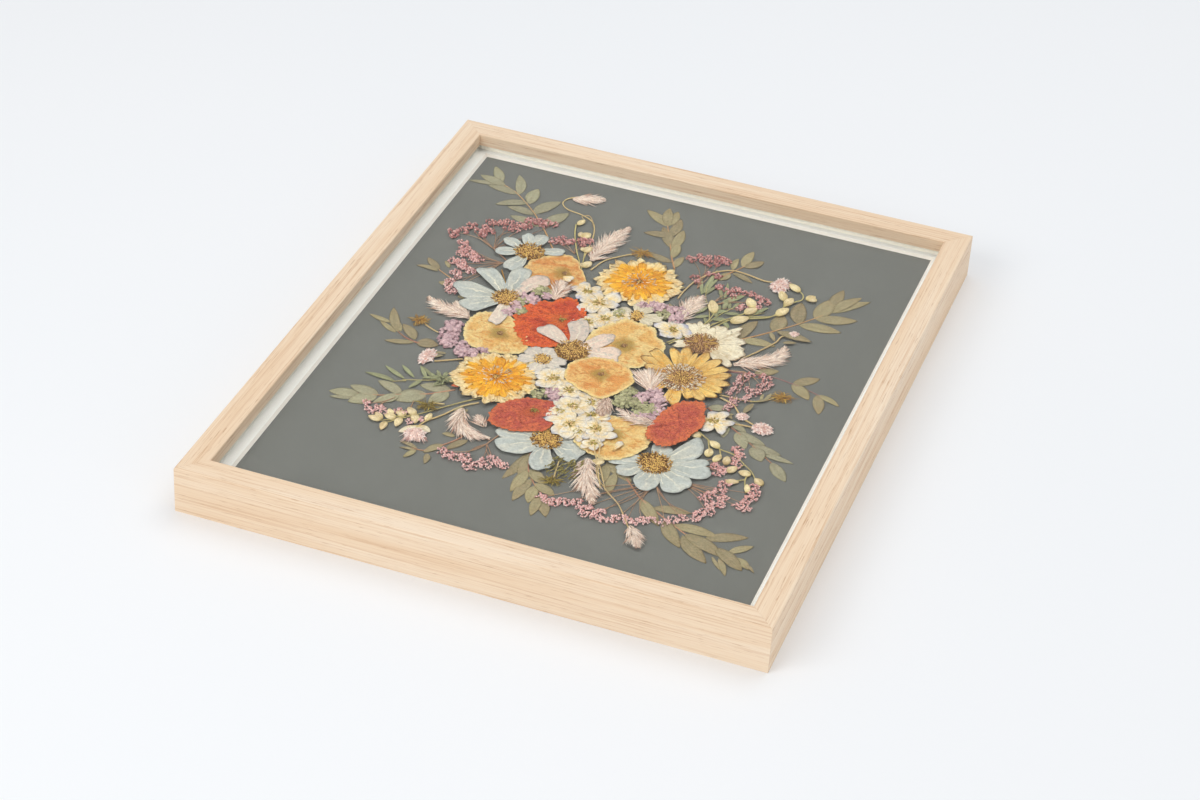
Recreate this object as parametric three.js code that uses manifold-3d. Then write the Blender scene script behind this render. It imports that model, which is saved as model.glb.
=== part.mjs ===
// A pressed flower frame lying on its back: four mitred wooden rails hold glass, spacers,
// a bevelled window mat, a grey card with the dried specimens on it, foam board and a
// hardboard back. Millimetres, +Z up, origin under the middle of the back.
import * as THREE from "three";
import { mergeVertices } from "three/addons/utils/BufferGeometryUtils.js";
import Module from "manifold-3d";

const wasm = await Module();
wasm.setup();

// Frame moulding
const WIDTH = 432;
const HEIGHT = 534;
const DEPTH = 36.8;
const FACE = 19; // width of the moulding seen from the front
const REBATE = 6.35; // how far the lip covers the glass
const LIP = 10; // depth of the lip in front of the glass
const EDGE_ROUND = 1;
const MITRE_GAP = 0.1;

// What lies in the rebate, from the lip backwards
const FIT = 0.3; // clearance of the sheets in the rebate, a side
const GLASS = 2;
const SPACER = 3.1;
const SPACER_WIDTH = 4;
const MAT = 2;
const CARD = 1.5;
const FOAM = 5;
const BACK = 3;

// Mat window at the card, and how far it sits off the middle
const WINDOW = { width: 378, height: 482, x: 0.8, y: 2 };

// Framer's points and the hanger
const POINT = { length: 14, width: 9, thickness: 0.6, driven: 6, play: 0.1 };
const HANGER = { length: 46, width: 9, thickness: 0.8, rise: 1.4, foot: 9, fromTop: 45, tooth: 4 };

// Pressed specimens lie in thin layers on the card. Their places are drawn on the card
// and a higher layer moves by LEAN for each millimetre above it, so that overlaps stay
// in place for somebody who looks from beyond the lower edge.
const LAYER = 0.6;
const PRESSED = 0.3;
const DRAWN_AT = 0.6; // height over the card at which the places are drawn
const LEAN = [0.44, -1.36];
const STEM_WIDTH = 1.6;

const Z = {};
Z.lip = DEPTH - LIP;
Z.spacer = Z.lip - GLASS;
Z.mat = Z.spacer - SPACER;
Z.card = Z.mat - MAT;
Z.foam = Z.card - CARD;
Z.back = Z.foam - FOAM;
Z.recess = Z.back - BACK;

const INNER = { width: WIDTH - 2 * (FACE - REBATE), height: HEIGHT - 2 * (FACE - REBATE) };
const SHEET = { width: INNER.width - 2 * FIT, height: INNER.height - 2 * FIT };

// ---------------------------------------------------------------- shapes and solids

const polar = (x, y, radius, angle) => [
  x + radius * Math.cos(angle),
  y + radius * Math.sin(angle),
];

// Changes each vertex of a geometry by move(x, y, z), which returns the new three.
function reshape(geometry, move) {
  const p = geometry.attributes.position;
  for (let i = 0; i < p.count; i++) p.setXYZ(i, ...move(p.getX(i), p.getY(i), p.getZ(i)));
  geometry.computeVertexNormals();
  return geometry;
}

const shapeOf = (points) => new THREE.Shape(points.map(([x, y]) => new THREE.Vector2(x, y)));

// A flat sheet with the outline of points, and holes, from height low to height high.
function slab(points, low, high, holes = []) {
  const shape = shapeOf(points);
  shape.holes = holes.map(shapeOf);
  const sheet = new THREE.ExtrudeGeometry(shape, { depth: 1, bevelEnabled: false });
  return reshape(sheet, (x, y, z) => [x, y, z > 0.5 ? high : low]);
}

const rectangle = (width, height, x = 0, y = 0) => [
  [x - width / 2, y - height / 2],
  [x + width / 2, y - height / 2],
  [x + width / 2, y + height / 2],
  [x - width / 2, y + height / 2],
];

function solidOf(geometry) {
  const bare = geometry.clone();
  bare.deleteAttribute("normal");
  bare.deleteAttribute("uv");
  const merged = mergeVertices(bare, 1e-4);
  return new wasm.Manifold(
    new wasm.Mesh({
      numProp: 3,
      vertProperties: merged.attributes.position.array,
      triVerts: new Uint32Array(merged.index.array),
    }),
  );
}

function geometryOf(solid) {
  const mesh = solid.getMesh();
  const geometry = new THREE.BufferGeometry();
  geometry.setAttribute("position", new THREE.BufferAttribute(mesh.vertProperties, 3));
  geometry.setIndex(new THREE.BufferAttribute(mesh.triVerts, 1));
  geometry.computeVertexNormals();
  return geometry;
}

const join = (geometries) =>
  geometryOf(geometries.map(solidOf).reduce((whole, piece) => whole.add(piece)));

const cut = (geometry, cutters) =>
  geometryOf(cutters.map(solidOf).reduce((rest, cutter) => rest.subtract(cutter), solidOf(geometry)));

// ---------------------------------------------------------------- finishes

const finish = (color, roughness, metalness = 0, more = {}) =>
  new THREE.MeshStandardMaterial({ color, roughness, metalness, ...more });

const FINISH = {
  wood: () => finish(0xe6cda8, 0.55),
  glass: () => finish(0xf4f8f8, 0.05, 0, { transparent: true, opacity: 0.25 }),
  mat: () => finish(0xf0f0e8, 0.9),
  spacer: () => finish(0xf2efe6, 0.9),
  card: () => finish(0x82847e, 0.95),
  foam: () => finish(0xf4f4f2, 0.9),
  back: () => finish(0x8a6a4a, 0.85),
  steel: () => finish(0xb9bcc0, 0.35, 1),
  brass: () => finish(0xb9975a, 0.4, 1),
  leaf: () => finish(0xa09b78, 0.8),
  cosmos: () => finish(0xdfe5e2, 0.75),
  daisy: () => finish(0xe4e0d2, 0.75),
  orange: () => finish(0xffb41e, 0.75),
  cream: () => finish(0xf0e8c8, 0.75),
  yellow: () => finish(0xe6b85a, 0.75),
  poppy: () => finish(0xf0cd8c, 0.75),
  red: () => finish(0xcd4b2d, 0.75),
  celosia: () => finish(0xf0dfd7, 0.85),
  rice: () => finish(0xc38282, 0.85),
};

const frame = new THREE.Group();

function add(name, geometry, material) {
  const mesh = new THREE.Mesh(geometry, material);
  mesh.name = name;
  frame.add(mesh);
}

// ---------------------------------------------------------------- wooden frame

// The moulding's section: across runs inwards from the outer face, height from the back.
function mouldingSection() {
  const corner = (x, y, from) =>
    [0, 1, 2, 3].map((i) => polar(x, y, EDGE_ROUND, from - (i / 3) * (Math.PI / 2)));
  return [
    [0, 0],
    ...corner(EDGE_ROUND, DEPTH - EDGE_ROUND, Math.PI),
    ...corner(FACE - EDGE_ROUND, DEPTH - EDGE_ROUND, Math.PI / 2),
    [FACE, Z.lip],
    [FACE - REBATE, Z.lip],
    [FACE - REBATE, 0],
  ];
}

// One rail, drawn along its own direction and mitred at both ends, then turned to its side.
// side is [outward x, outward y]; reach is how far the outer face is from the middle.
function rail(side, reach, length) {
  const bar = new THREE.ExtrudeGeometry(shapeOf(mouldingSection()), { depth: 1, bevelEnabled: false });
  const [ox, oy] = side;
  return reshape(bar, (across, height, along) => {
    const end = length / 2 - across - MITRE_GAP / 2;
    const place = along > 0.5 ? end : -end;
    const out = reach - across;
    return [ox * out - oy * place, oy * out + ox * place, height];
  });
}

const RAILS = {
  rail_bottom: { side: [0, -1], reach: HEIGHT / 2, length: WIDTH, points: [0] },
  rail_right: { side: [1, 0], reach: WIDTH / 2, length: HEIGHT, points: [-150, 150] },
  rail_top: { side: [0, 1], reach: HEIGHT / 2, length: WIDTH, points: [0] },
  rail_left: { side: [-1, 0], reach: WIDTH / 2, length: HEIGHT, points: [-150, 150] },
};

// A framer's point lies flat behind the back board with its tip driven into the rail;
// grown widens it on every side for the slot that it cuts.
function framersPoint({ side, reach }, place, grown = 0) {
  const [ox, oy] = side;
  const wall = reach - (FACE - REBATE);
  const far = wall + POINT.driven + grown;
  const near = wall - (POINT.length - POINT.driven);
  const half = POINT.width / 2 + grown;
  const top = Z.recess - POINT.play + grown;
  const at = (out, along) => [ox * out - oy * along, oy * out + ox * along];
  const outline = [
    [near, -half], [wall, -half], [far, -half / 3], [far, half / 3], [wall, half], [near, half],
  ];
  return slab(
    outline.map(([out, along]) => at(out, place + along)),
    top - POINT.thickness - 2 * grown,
    top,
  );
}

for (const [name, plan] of Object.entries(RAILS)) {
  const slots = plan.points.map((place) => framersPoint(plan, place, POINT.play));
  add(name, cut(rail(plan.side, plan.reach, plan.length), slots), FINISH.wood());
  plan.points.forEach((place, i) =>
    add(`framers_point_${name.slice(5)}_${i + 1}`, framersPoint(plan, place), FINISH.steel()),
  );
}

// ---------------------------------------------------------------- glazing, mat and backing

const sheet = (low, high) => slab(rectangle(SHEET.width, SHEET.height), low, high);

add("glass", sheet(Z.spacer, Z.lip), FINISH.glass());

const longSpacerX = SHEET.width / 2 - SPACER_WIDTH / 2;
const shortSpacerY = SHEET.height / 2 - SPACER_WIDTH / 2;
const shortSpacer = SHEET.width - 2 * SPACER_WIDTH - 2 * FIT;
for (const [name, width, height, x, y] of [
  ["spacer_left", SPACER_WIDTH, SHEET.height, -longSpacerX, 0],
  ["spacer_right", SPACER_WIDTH, SHEET.height, longSpacerX, 0],
  ["spacer_bottom", shortSpacer, SPACER_WIDTH, 0, -shortSpacerY],
  ["spacer_top", shortSpacer, SPACER_WIDTH, 0, shortSpacerY],
])
  add(name, slab(rectangle(width, height, x, y), Z.mat, Z.spacer), FINISH.spacer());

// The window's edge is cut at 45 degrees, so it is wider by the mat's thickness in front.
function windowMat() {
  const hole = rectangle(WINDOW.width, WINDOW.height, WINDOW.x, WINDOW.y);
  const board = slab(rectangle(SHEET.width, SHEET.height), Z.card, Z.mat, [hole]);
  return reshape(board, (x, y, z) => {
    const inHole = Math.abs(x - WINDOW.x) < WINDOW.width / 2 + 1;
    const grow = inHole && z > Z.card + MAT / 2 ? MAT : 0;
    return [x + grow * Math.sign(x - WINDOW.x), y + grow * Math.sign(y - WINDOW.y), z];
  });
}

add("window_mat", windowMat(), FINISH.mat());
add("mount_card", sheet(Z.foam, Z.card), FINISH.card());
add("foam_board", sheet(Z.back, Z.foam), FINISH.foam());
add("back_board", sheet(Z.recess, Z.back), FINISH.back());

// A strip with flat feet and a raised middle, its lower edge cut into teeth.
function sawtoothHanger() {
  const { length, width, thickness, rise, foot, fromTop, tooth } = HANGER;
  const half = length / 2;
  const knee = half - foot;
  const y = HEIGHT / 2 - fromTop;
  const face = Z.recess;
  const under = [[-half, 0], [-knee, 0], [-knee + rise, rise], [knee - rise, rise], [knee, 0], [half, 0]];
  const over = under.map(([x, drop]) => [x, drop + thickness]).reverse();
  const strip = new THREE.ExtrudeGeometry(shapeOf([...under, ...over]), { depth: 1, bevelEnabled: false });
  reshape(strip, (x, drop, along) => [x, along > 0.5 ? y : y - width, face - drop]);
  const teeth = [];
  for (let x = -knee + rise + 1; x + tooth < knee - rise; x += tooth)
    teeth.push(
      slab(
        [[x, y - width - 1], [x + tooth - 0.2, y - width - 1], [x + tooth / 2, y - width + 1.8]],
        face - rise - thickness - 1,
        face,
      ),
    );
  return cut(strip, teeth);
}

add("sawtooth_hanger", sawtoothHanger(), FINISH.brass());

// ---------------------------------------------------------------- pressed specimens

// A flat piece on a layer, from one or more outlines that are drawn on the card.
function pressed(outlines, layer) {
  const low = Z.card + layer * LAYER;
  const lift = layer * LAYER + PRESSED / 2 - DRAWN_AT;
  const place = ([x, y]) => [x + LEAN[0] * lift, y + LEAN[1] * lift];
  return join(outlines.map((outline) => slab(outline.map(place), low, low + PRESSED)));
}

// A shape between base and tip: each pair of profile is how far along and how wide,
// as shares of its length and its width.
function blade(base, tip, width, profile) {
  const [dx, dy] = [tip[0] - base[0], tip[1] - base[1]];
  const length = Math.hypot(dx, dy);
  const at = ([along, wide], sign) => [
    base[0] + dx * along - (sign * dy * wide * width) / (2 * length),
    base[1] + dy * along + (sign * dx * wide * width) / (2 * length),
  ];
  const right = profile.map((pair) => at(pair, -1));
  const left = profile.map((pair) => at(pair, 1)).reverse();
  return [base, ...right, tip, ...left];
}

const LEAF = [[0.35, 0.9], [0.7, 0.85]];
const PETAL = [[0.3, 0.7], [0.85, 0.95]];

// A leaf whose base reaches a little way through its stem.
function leaf(base, tip, width) {
  const size = Math.hypot(tip[0] - base[0], tip[1] - base[1]) / STEM_WIDTH;
  const root = [base[0] - (tip[0] - base[0]) / size, base[1] - (tip[1] - base[1]) / size];
  return blade(root, tip, width, LEAF);
}

const round = (x, y, radius, sides) =>
  Array.from({ length: sides }, (_, i) => polar(x, y, radius, (i / sides) * 2 * Math.PI));

// A thin band along a line of points.
function band(points, width) {
  const side = (sign) =>
    points.map(([x, y], i) => {
      const before = points[Math.max(i - 1, 0)];
      const after = points[Math.min(i + 1, points.length - 1)];
      const [dx, dy] = [after[0] - before[0], after[1] - before[1]];
      const size = (sign * width(i / (points.length - 1))) / 2 / Math.hypot(dx, dy);
      return [x + dy * size, y - dx * size];
    });
  return [...side(1), ...side(-1).reverse()];
}

const stem = (points) => band(points, () => STEM_WIDTH);

// A flower head of separate petals round a disc. Each petal is its tip and its width.
const daisyHead = ([x, y], disc, petals) => [
  round(x, y, disc, 12),
  ...petals.map(([tipX, tipY, width]) => blade([x, y], [tipX, tipY], width, PETAL)),
];

// A round head with a frilled rim of count lobes, each lobe a low point and a high one.
const frilledHead = ([x, y], radiusX, radiusY, count, frill) => [
  Array.from({ length: 2 * count }, (_, i) => {
    const share = i % 2 ? 1 : 1 - frill;
    const angle = (i / count) * Math.PI;
    return [x + radiusX * share * Math.cos(angle), y + radiusY * share * Math.sin(angle)];
  }),
];

// A feathery head: a band that swells in its first third and runs out to the tip.
const plumeHead = (spine, width) => band(spine, (t) => width * (0.35 + 0.75 * Math.sin(Math.PI * (0.12 + 0.78 * t))));

// Leaves on a stem: each leaf is its base, its tip and its width.
const sprig = (stemPoints, leaves) => [
  stem(stemPoints),
  ...leaves.map(([baseX, baseY, tipX, tipY, width]) => leaf([baseX, baseY], [tipX, tipY], width)),
];

// A straight stalk that widens to its end.
function stalk([x, y], end) {
  const across = Math.atan2(end[1] - y, end[0] - x) + Math.PI / 2;
  return [[x, y], polar(...end, -STEM_WIDTH / 2, across), polar(...end, STEM_WIDTH / 2, across)];
}

// Clusters on straight stalks that meet at one fork, with a main stalk below it.
const spray = (root, fork, clusters) => [
  stem([root, fork]),
  round(...fork, STEM_WIDTH, 5),
  ...clusters.map(([x, y, radius]) => round(x, y, radius, 5)),
  ...clusters.map(([x, y]) => stalk(fork, [x, y])),
];

const SPECIMENS = {
  // Leafy sprigs lie lowest
  leaf_sprig_top_left: [0, FINISH.leaf, sprig(
    [[-88, 132], [-101, 151], [-121, 176], [-144, 198], [-158, 206]],
    [
      [-162, 206, -176, 231, 9], [-157, 205, -182, 213, 10], [-160, 206, -188, 201, 6],
      [-142, 197, -153, 226, 9], [-144, 197, -170, 200, 9], [-129, 187, -131, 212, 11],
      [-130, 188, -154, 175, 9], [-120, 173, -144, 176, 9], [-121, 174, -107, 201, 12],
      [-107, 160, -95, 187, 12], [-108, 159, -137, 164, 10],
    ],
  )],
  leaf_sprig_top: [0, FINISH.leaf, sprig(
    [[9, 144], [2, 158], [-3, 170], [-17, 203]],
    [
      [-16, 202, -40, 219, 10], [-16, 202, -24, 229, 9], [-17, 202, -16, 227, 9],
      [-10, 186, -10, 217, 9], [-3, 172, -20, 200, 10], [-2, 170, -3, 202, 9],
      [-8, 190, -31, 185, 9], [2, 158, -1, 182, 8], [4, 152, -17, 158, 8], [8, 146, 10, 164, 7],
    ],
  )],
  leaf_sprig_upper_right: [0, FINISH.leaf, sprig(
    [[82, 66], [97, 82], [110, 97], [122, 112], [139, 136]],
    [
      [139, 135, 139, 171, 11], [139, 135, 155, 166, 10], [139, 135, 163, 163, 9],
      [130, 122, 135, 155, 14], [130, 122, 161, 133, 12], [121, 109, 114, 140, 13],
      [121, 109, 154, 112, 12], [106, 92, 105, 118, 13], [84, 69, 91, 101, 11], [85, 70, 114, 73, 10],
    ],
  )],
  leaf_sprig_right: [0, FINISH.leaf, sprig(
    [[90, 26], [120, 33], [140, 31], [161, 25], [166, 20]],
    [[110, 31, 126, 43, 10], [140, 31, 157, 46, 10], [140, 31, 157, 16, 11],
      [161, 25, 180, 17, 6], [161, 25, 169, 1, 9]],
  )],
  leaf_sprig_lower_right: [0, FINISH.leaf, sprig(
    [[92, -24], [122, -45], [138, -57], [156, -71]],
    [
      [92, -24, 107, -20, 8], [106, -33, 128, -43, 8], [110, -37, 114, -55, 8],
      [121, -44, 145, -52, 9], [121, -45, 133, -62, 10], [135, -55, 159, -59, 9],
      [137, -57, 148, -72, 12], [145, -62, 170, -65, 6], [155, -70, 171, -88, 10],
    ],
  )],
  leaf_sprig_bottom_right: [0, FINISH.leaf, sprig(
    [[67, -130], [84, -148], [99, -158], [126, -174], [160, -190]],
    [
      [84, -148, 106, -173, 10], [95, -155, 122, -150, 9], [107, -163, 127, -190, 11],
      [116, -168, 146, -168, 10], [122, -171, 164, -162, 8], [125, -174, 152, -188, 10],
      [126, -174, 148, -198, 11], [152, -186, 172, -169, 7], [150, -185, 182, -196, 9],
      [152, -186, 165, -206, 6],
    ],
  )],
  leaf_sprig_bottom: [0, FINISH.leaf, sprig(
    [[-6, -128], [0, -148], [8, -160], [20, -174]],
    [
      [-6, -128, -13, -166, 9], [-5, -130, -2, -160, 9], [0, -148, -2, -178, 9],
      [6, -158, 3, -187, 9], [12, -164, 14, -185, 9], [19, -173, 21, -198, 8],
      [20, -173, 31, -195, 9], [1, -148, 17, -161, 10], [10, -162, 28, -170, 9],
    ],
  )],
  leaf_sprig_lower_left: [0, FINISH.leaf, sprig(
    [[-84, -79], [-100, -92], [-118, -101], [-134, -109], [-152, -114]],
    [
      [-86, -81, -110, -84, 12], [-88, -83, -95, -103, 12], [-101, -92, -120, -109, 17],
      [-117, -101, -140, -91, 10], [-118, -101, -132, -118, 10], [-132, -108, -156, -105, 11],
      [-133, -109, -149, -125, 14], [-148, -113, -170, -118, 9],
    ],
  )],

  // Sprays of small pink flowers
  rice_flower_spray_top_left: [1, FINISH.rice, spray([-113, 99], [-130, 112], [
    [-168, 122, 6], [-159, 132, 8], [-149, 137, 8], [-143, 148, 7],
    [-132, 149, 9], [-119, 157, 9], [-107, 163, 8], [-101, 165, 6],
  ])],
  rice_flower_spray_left: [1, FINISH.rice, spray([-104, 88], [-116, 96], [
    [-153, 105, 8], [-146, 97, 9], [-137, 92, 8], [-149, 82, 7],
    [-138, 76, 8], [-142, 66, 6], [-142, 53, 8], [-136, 43, 8],
  ])],
  rice_flower_spray_right: [1, FINISH.rice, spray([88, 27], [103, 31], [
    [121, 23, 10], [118, 8, 9], [114, -3, 7],
    [105, 20, 8], [103, 5, 7], [107, -9, 7], [106, -19, 6],
  ])],
  rice_flower_spray_bottom_left: [1, FINISH.rice, spray([-32, -112], [-38, -132], [
    [-63, -154, 5], [-54, -157, 8], [-44, -157, 8], [-40, -165, 5],
    [-33, -156, 8], [-24, -151, 8], [-17, -152, 5],
  ])],
  rice_flower_spray_bottom_right: [1, FINISH.rice, spray([60, -112], [88, -128], [
    [25, -176, 8], [40, -173, 8], [59, -178, 10], [76, -177, 8], [92, -173, 9],
    [112, -164, 9], [127, -152, 10], [131, -134, 12], [132, -114, 11],
    [125, -93, 9], [130, -73, 9], [155, -109, 9], [153, -127, 9],
  ])],

  // Feathery celosia heads, two of them on their own stems
  celosia_top_left: [1, FINISH.celosia, [
    plumeHead([[-100, 211], [-93, 215], [-85, 218], [-72, 223]], 19),
    stem([[-96, 213], [-104, 207], [-105, 199], [-98, 192], [-84, 189], [-73, 182], [-64, 158], [-61, 132]]),
  ]],
  celosia_bottom_right: [3, FINISH.celosia, [
    plumeHead([[86, -180], [90, -187], [95, -194], [104, -204]], 13),
    stem([[88, -184], [73, -162], [60, -150], [48, -137], [42, -124]]),
  ]],
  celosia_tall: [2, FINISH.celosia, [plumeHead([[-54, 127], [-53, 145], [-50, 165], [-46, 180], [-41, 193]], 20)]],
  celosia_upper_centre: [2, FINISH.celosia, [plumeHead([[36, 77], [36, 88], [38, 100], [41, 110], [45, 120]], 20)]],
  celosia_right: [2, FINISH.celosia, [plumeHead([[91, 37], [104, 42], [114, 49], [121, 60], [122, 70], [120, 82]], 16)]],
  celosia_left: [2, FINISH.celosia, [
    plumeHead([[-110, 14], [-122, 15], [-134, 18], [-143, 22], [-153, 29]], 17),
    plumeHead([[-112, 14], [-119, 20], [-124, 25], [-130, 31]], 13),
  ]],
  celosia_lower_left: [2, FINISH.celosia, [
    plumeHead([[-69, -99], [-67, -112], [-61, -122], [-51, -126], [-34, -125]], 18),
  ]],
  celosia_bottom: [2, FINISH.celosia, [plumeHead([[34, -118], [38, -135], [45, -150], [51, -160], [58, -172]], 21)]],

  // Flower heads, from the lowest to the highest
  orange_zinnia_upper: [2, FINISH.orange, frilledHead([-9.5, 114], 36, 35, 18, 0.08)],
  cream_zinnia: [3, FINISH.cream, daisyHead([61, 54], 14, [
    [88, 78, 16], [73, 83, 16], [62, 79, 10], [53, 85, 9], [43, 77, 11], [37, 68, 9],
    [95, 66, 14], [97, 51, 15], [93, 35, 14], [40, 44, 9],
  ])],
  yellow_poppy_upper_left: [3, FINISH.poppy, frilledHead([-73, 101], 25, 27, 10, 0.04)],
  yellow_poppy_left: [3, FINISH.poppy, frilledHead([-82, 3], 28, 26, 10, 0.04)],
  cosmos_lower_centre: [3, FINISH.cosmos, daisyHead([-1, -109.5], 11.5, [
    [-39, -111, 16], [-31, -128, 20], [7, -146, 20], [29, -118, 24],
  ])],
  cosmos_lower_right: [3, FINISH.cosmos, daisyHead([79, -105], 12.5, [
    [78, -80, 16], [99, -65, 19], [118, -97, 24], [106, -131, 24], [83, -138, 17],
    [57, -122, 14], [49, -114, 10],
  ])],
  cosmos_upper_left: [4, FINISH.cosmos, daisyHead([-103, 120], 11.5, [
    [-114, 144, 10], [-101, 147, 12], [-78, 131, 11], [-108, 88, 14], [-127, 109, 11], [-128, 131, 11],
  ])],
  daisy_upper: [4, FINISH.daisy, daisyHead([5, 68], 6.5, [
    [-1, 86, 10], [11, 86, 11], [26, 70, 18], [-11, 73, 10], [-12, 58, 12],
  ])],
  red_poppy_upper: [4, FINISH.red, frilledHead([-56, 33], 25, 36, 12, 0.06)],
  orange_zinnia_lower: [4, FINISH.orange, frilledHead([-62, -51], 34, 34, 18, 0.08)],
  yellow_poppy_lower: [4, FINISH.poppy, frilledHead([41, -89], 26, 27, 10, 0.04)],
  cosmos_left: [5, FINISH.cosmos, daisyHead([-95, 50.5], 10.5, [
    [-123, 86, 19], [-98, 97, 15], [-79, 93, 17], [-139, 59, 17], [-126, 30, 16], [-91, 13, 11],
  ])],
  daisy_centre: [5, FINISH.daisy, daisyHead([-40, -15], 7, [
    [-55, -5, 14], [-38, 1, 14], [-22, -9, 15], [-25, -29, 15], [-42, -34, 10], [-58, -22, 10],
  ])],
  yellow_poppy_centre: [5, FINISH.poppy, frilledHead([10, 30], 29, 31, 10, 0.04)],
  red_poppy_lower: [5, FINISH.red, frilledHead([-27, -86], 23, 23, 12, 0.06)],
  cosmos_centre: [6, FINISH.cosmos, daisyHead([-23.5, 3.5], 12.5, [
    [-58, 25, 15], [-34, 47, 16], [-2, 38, 14], [12, 13, 17],
  ])],
  yellow_zinnia: [6, FINISH.yellow, daisyHead([62, 4], 18, [
    [42, 40, 12], [54, 46, 12], [73, 44, 10], [89, 36, 12], [96, 22, 12], [98, 10, 12],
    [96, -7, 12], [89, -18, 14], [65, -34, 12], [28, 24, 13], [31, 10, 9],
  ])],
  red_poppy_right: [7, FINISH.red, frilledHead([78, -52], 17, 31, 12, 0.06)],
  yellow_poppy_lower_centre: [7, FINISH.poppy, frilledHead([5, -19], 26, 25, 10, 0.04)],
};

for (const [name, [layer, material, outlines]] of Object.entries(SPECIMENS))
  add(name, pressed(outlines, layer), material());

export default frame;
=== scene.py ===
"""The look of a pressed flower frame that lies on its back on a pale table.

Everything ends up in metres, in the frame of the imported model. The tables are in millimetres:
places are drawn on the card, x to the right and y to the top of the picture, and a specimen on
a higher layer moves by LEAN for each millimetre above the card, as its solid does.
"""

import math

import bmesh
import bpy
import numpy as np
from mathutils import Matrix


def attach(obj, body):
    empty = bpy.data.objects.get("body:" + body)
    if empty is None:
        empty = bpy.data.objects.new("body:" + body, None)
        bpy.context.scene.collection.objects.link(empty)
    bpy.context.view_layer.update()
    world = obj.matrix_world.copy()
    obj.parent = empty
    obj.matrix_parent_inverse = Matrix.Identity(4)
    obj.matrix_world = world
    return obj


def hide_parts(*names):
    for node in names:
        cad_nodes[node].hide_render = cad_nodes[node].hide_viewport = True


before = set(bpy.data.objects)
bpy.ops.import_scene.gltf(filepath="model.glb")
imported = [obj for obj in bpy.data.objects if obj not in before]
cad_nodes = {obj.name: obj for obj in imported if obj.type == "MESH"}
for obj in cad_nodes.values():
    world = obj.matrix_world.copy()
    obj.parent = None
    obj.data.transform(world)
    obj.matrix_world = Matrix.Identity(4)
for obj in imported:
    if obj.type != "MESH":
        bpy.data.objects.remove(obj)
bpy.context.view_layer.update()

CARD_TOP = 19.7
GLASS_UNDER = 24.8
LAYER = 0.6  # from one layer to the next
PRESSED = 0.3  # how thick a specimen's solid is
DRAWN_AT = 0.6  # the height over the card at which the tables' places are right
LEAN = (0.44, -1.36)
CLEAR_OF_GLASS = 0.05
CLEAR_OF_CARD = 0.02
SAME_POINT = 1e-6  # metres
TURN = 2 * math.pi
GOLDEN_ANGLE = math.pi * (3 - math.sqrt(5))


def show(name, data):
    """Puts a mesh, a lamp or a camera in the scene."""
    made = bpy.data.objects.new(name, data)
    bpy.context.scene.collection.objects.link(made)
    return made


# ---------------------------------------------------------------- lines and surfaces


def grid(rows, columns):
    """How far along and how far across, each from 0 to 1, over a grid of points."""
    return np.meshgrid(np.linspace(0, 1, rows), np.linspace(0, 1, columns), indexing="ij")


def ways(angle):
    """Arrows of length 1 at angles from the x axis."""
    return np.stack([np.cos(angle), np.sin(angle)], -1)


def to_left(run):
    """Arrows turned a quarter to the left."""
    return np.stack([-run[..., 1], run[..., 0]], -1)


def raised(flat, height):
    """Places on the card with a height for each."""
    return np.concatenate([flat, height[..., None]], -1)


def even_steps(line, count):
    """A line read at count even steps of its length."""
    run = np.concatenate([[0], np.cumsum(np.linalg.norm(np.diff(line, axis=0), axis=1))])
    even = np.linspace(0, run[-1], count)
    return np.stack([np.interp(even, run, column) for column in line.T], axis=1)


def curve(points, count):
    """A smooth line through points: Catmull-Rom cubics, read at count even steps."""
    points = np.asarray(points, float)
    ends = np.vstack([2 * points[0] - points[1], points, 2 * points[-1] - points[-2]])[:, None]
    a, b, c, d = ends[:-3], ends[1:-2], ends[2:-1], ends[3:]
    t = np.linspace(0, 1, 12, endpoint=False)[None, :, None]
    fine = b + 0.5 * t * (c - a + t * (2 * a - 5 * b + 4 * c - d + t * (3 * b - a - 3 * c + d)))
    return even_steps(np.vstack([fine.reshape(-1, points.shape[1]), points[-1]]), count)


def closed_curve(outline, count):
    """A smooth closed line through the points of outline, at count even steps."""
    points = np.asarray(outline, float)
    around = np.vstack([points[-2:], points, points[:3]])
    steps = 40
    line = curve(around, steps * len(around))
    away = np.linalg.norm(line - points[0], axis=1)
    half = len(line) // 2
    start, stop = np.argmin(away[: 3 * steps]), half + np.argmin(away[half:])
    return even_steps(line[start : stop + 1], count)


def uneven(random, x, y, length, parts=7):
    """A smooth uneven height between about -1 and 1: the sum of sine waves that run in all
    directions and measure about length from crest to crest."""
    way = random.uniform(0, TURN, parts)
    pace = TURN / (length * random.uniform(0.6, 1.5, parts))
    start = random.uniform(0, TURN, parts)
    x, y = np.asarray(x)[..., None], np.asarray(y)[..., None]
    waves = np.sin(pace * (x * np.cos(way) + y * np.sin(way)) + start)
    return waves.sum(-1) / math.sqrt(parts) / 1.3


def leaf_width(along):
    """A leaf's share of its full width: widest just before its middle, pointed at both ends."""
    return (along**0.75 * (1 - along) ** 0.9) / 0.318


def petal_width(along):
    """A petal's share of its full width: narrow at its foot, widest near its blunt end."""
    return (0.3 + 0.7 * along**0.9) * np.sqrt(np.clip(1 - along**7, 0, 1))


def lance_width(along):
    """A floret's share of its full width: a slow swell, then a long point."""
    return np.sin(math.pi * np.clip(along, 0, 1) ** 0.8) ** 0.8


def star_width(along):
    """A star petal's share of its full width: widest past its middle, with a long point."""
    return np.clip(along, 0, 1) ** 0.8 * np.clip(1 - along, 0, 1) ** 0.6 / 0.385


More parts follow.
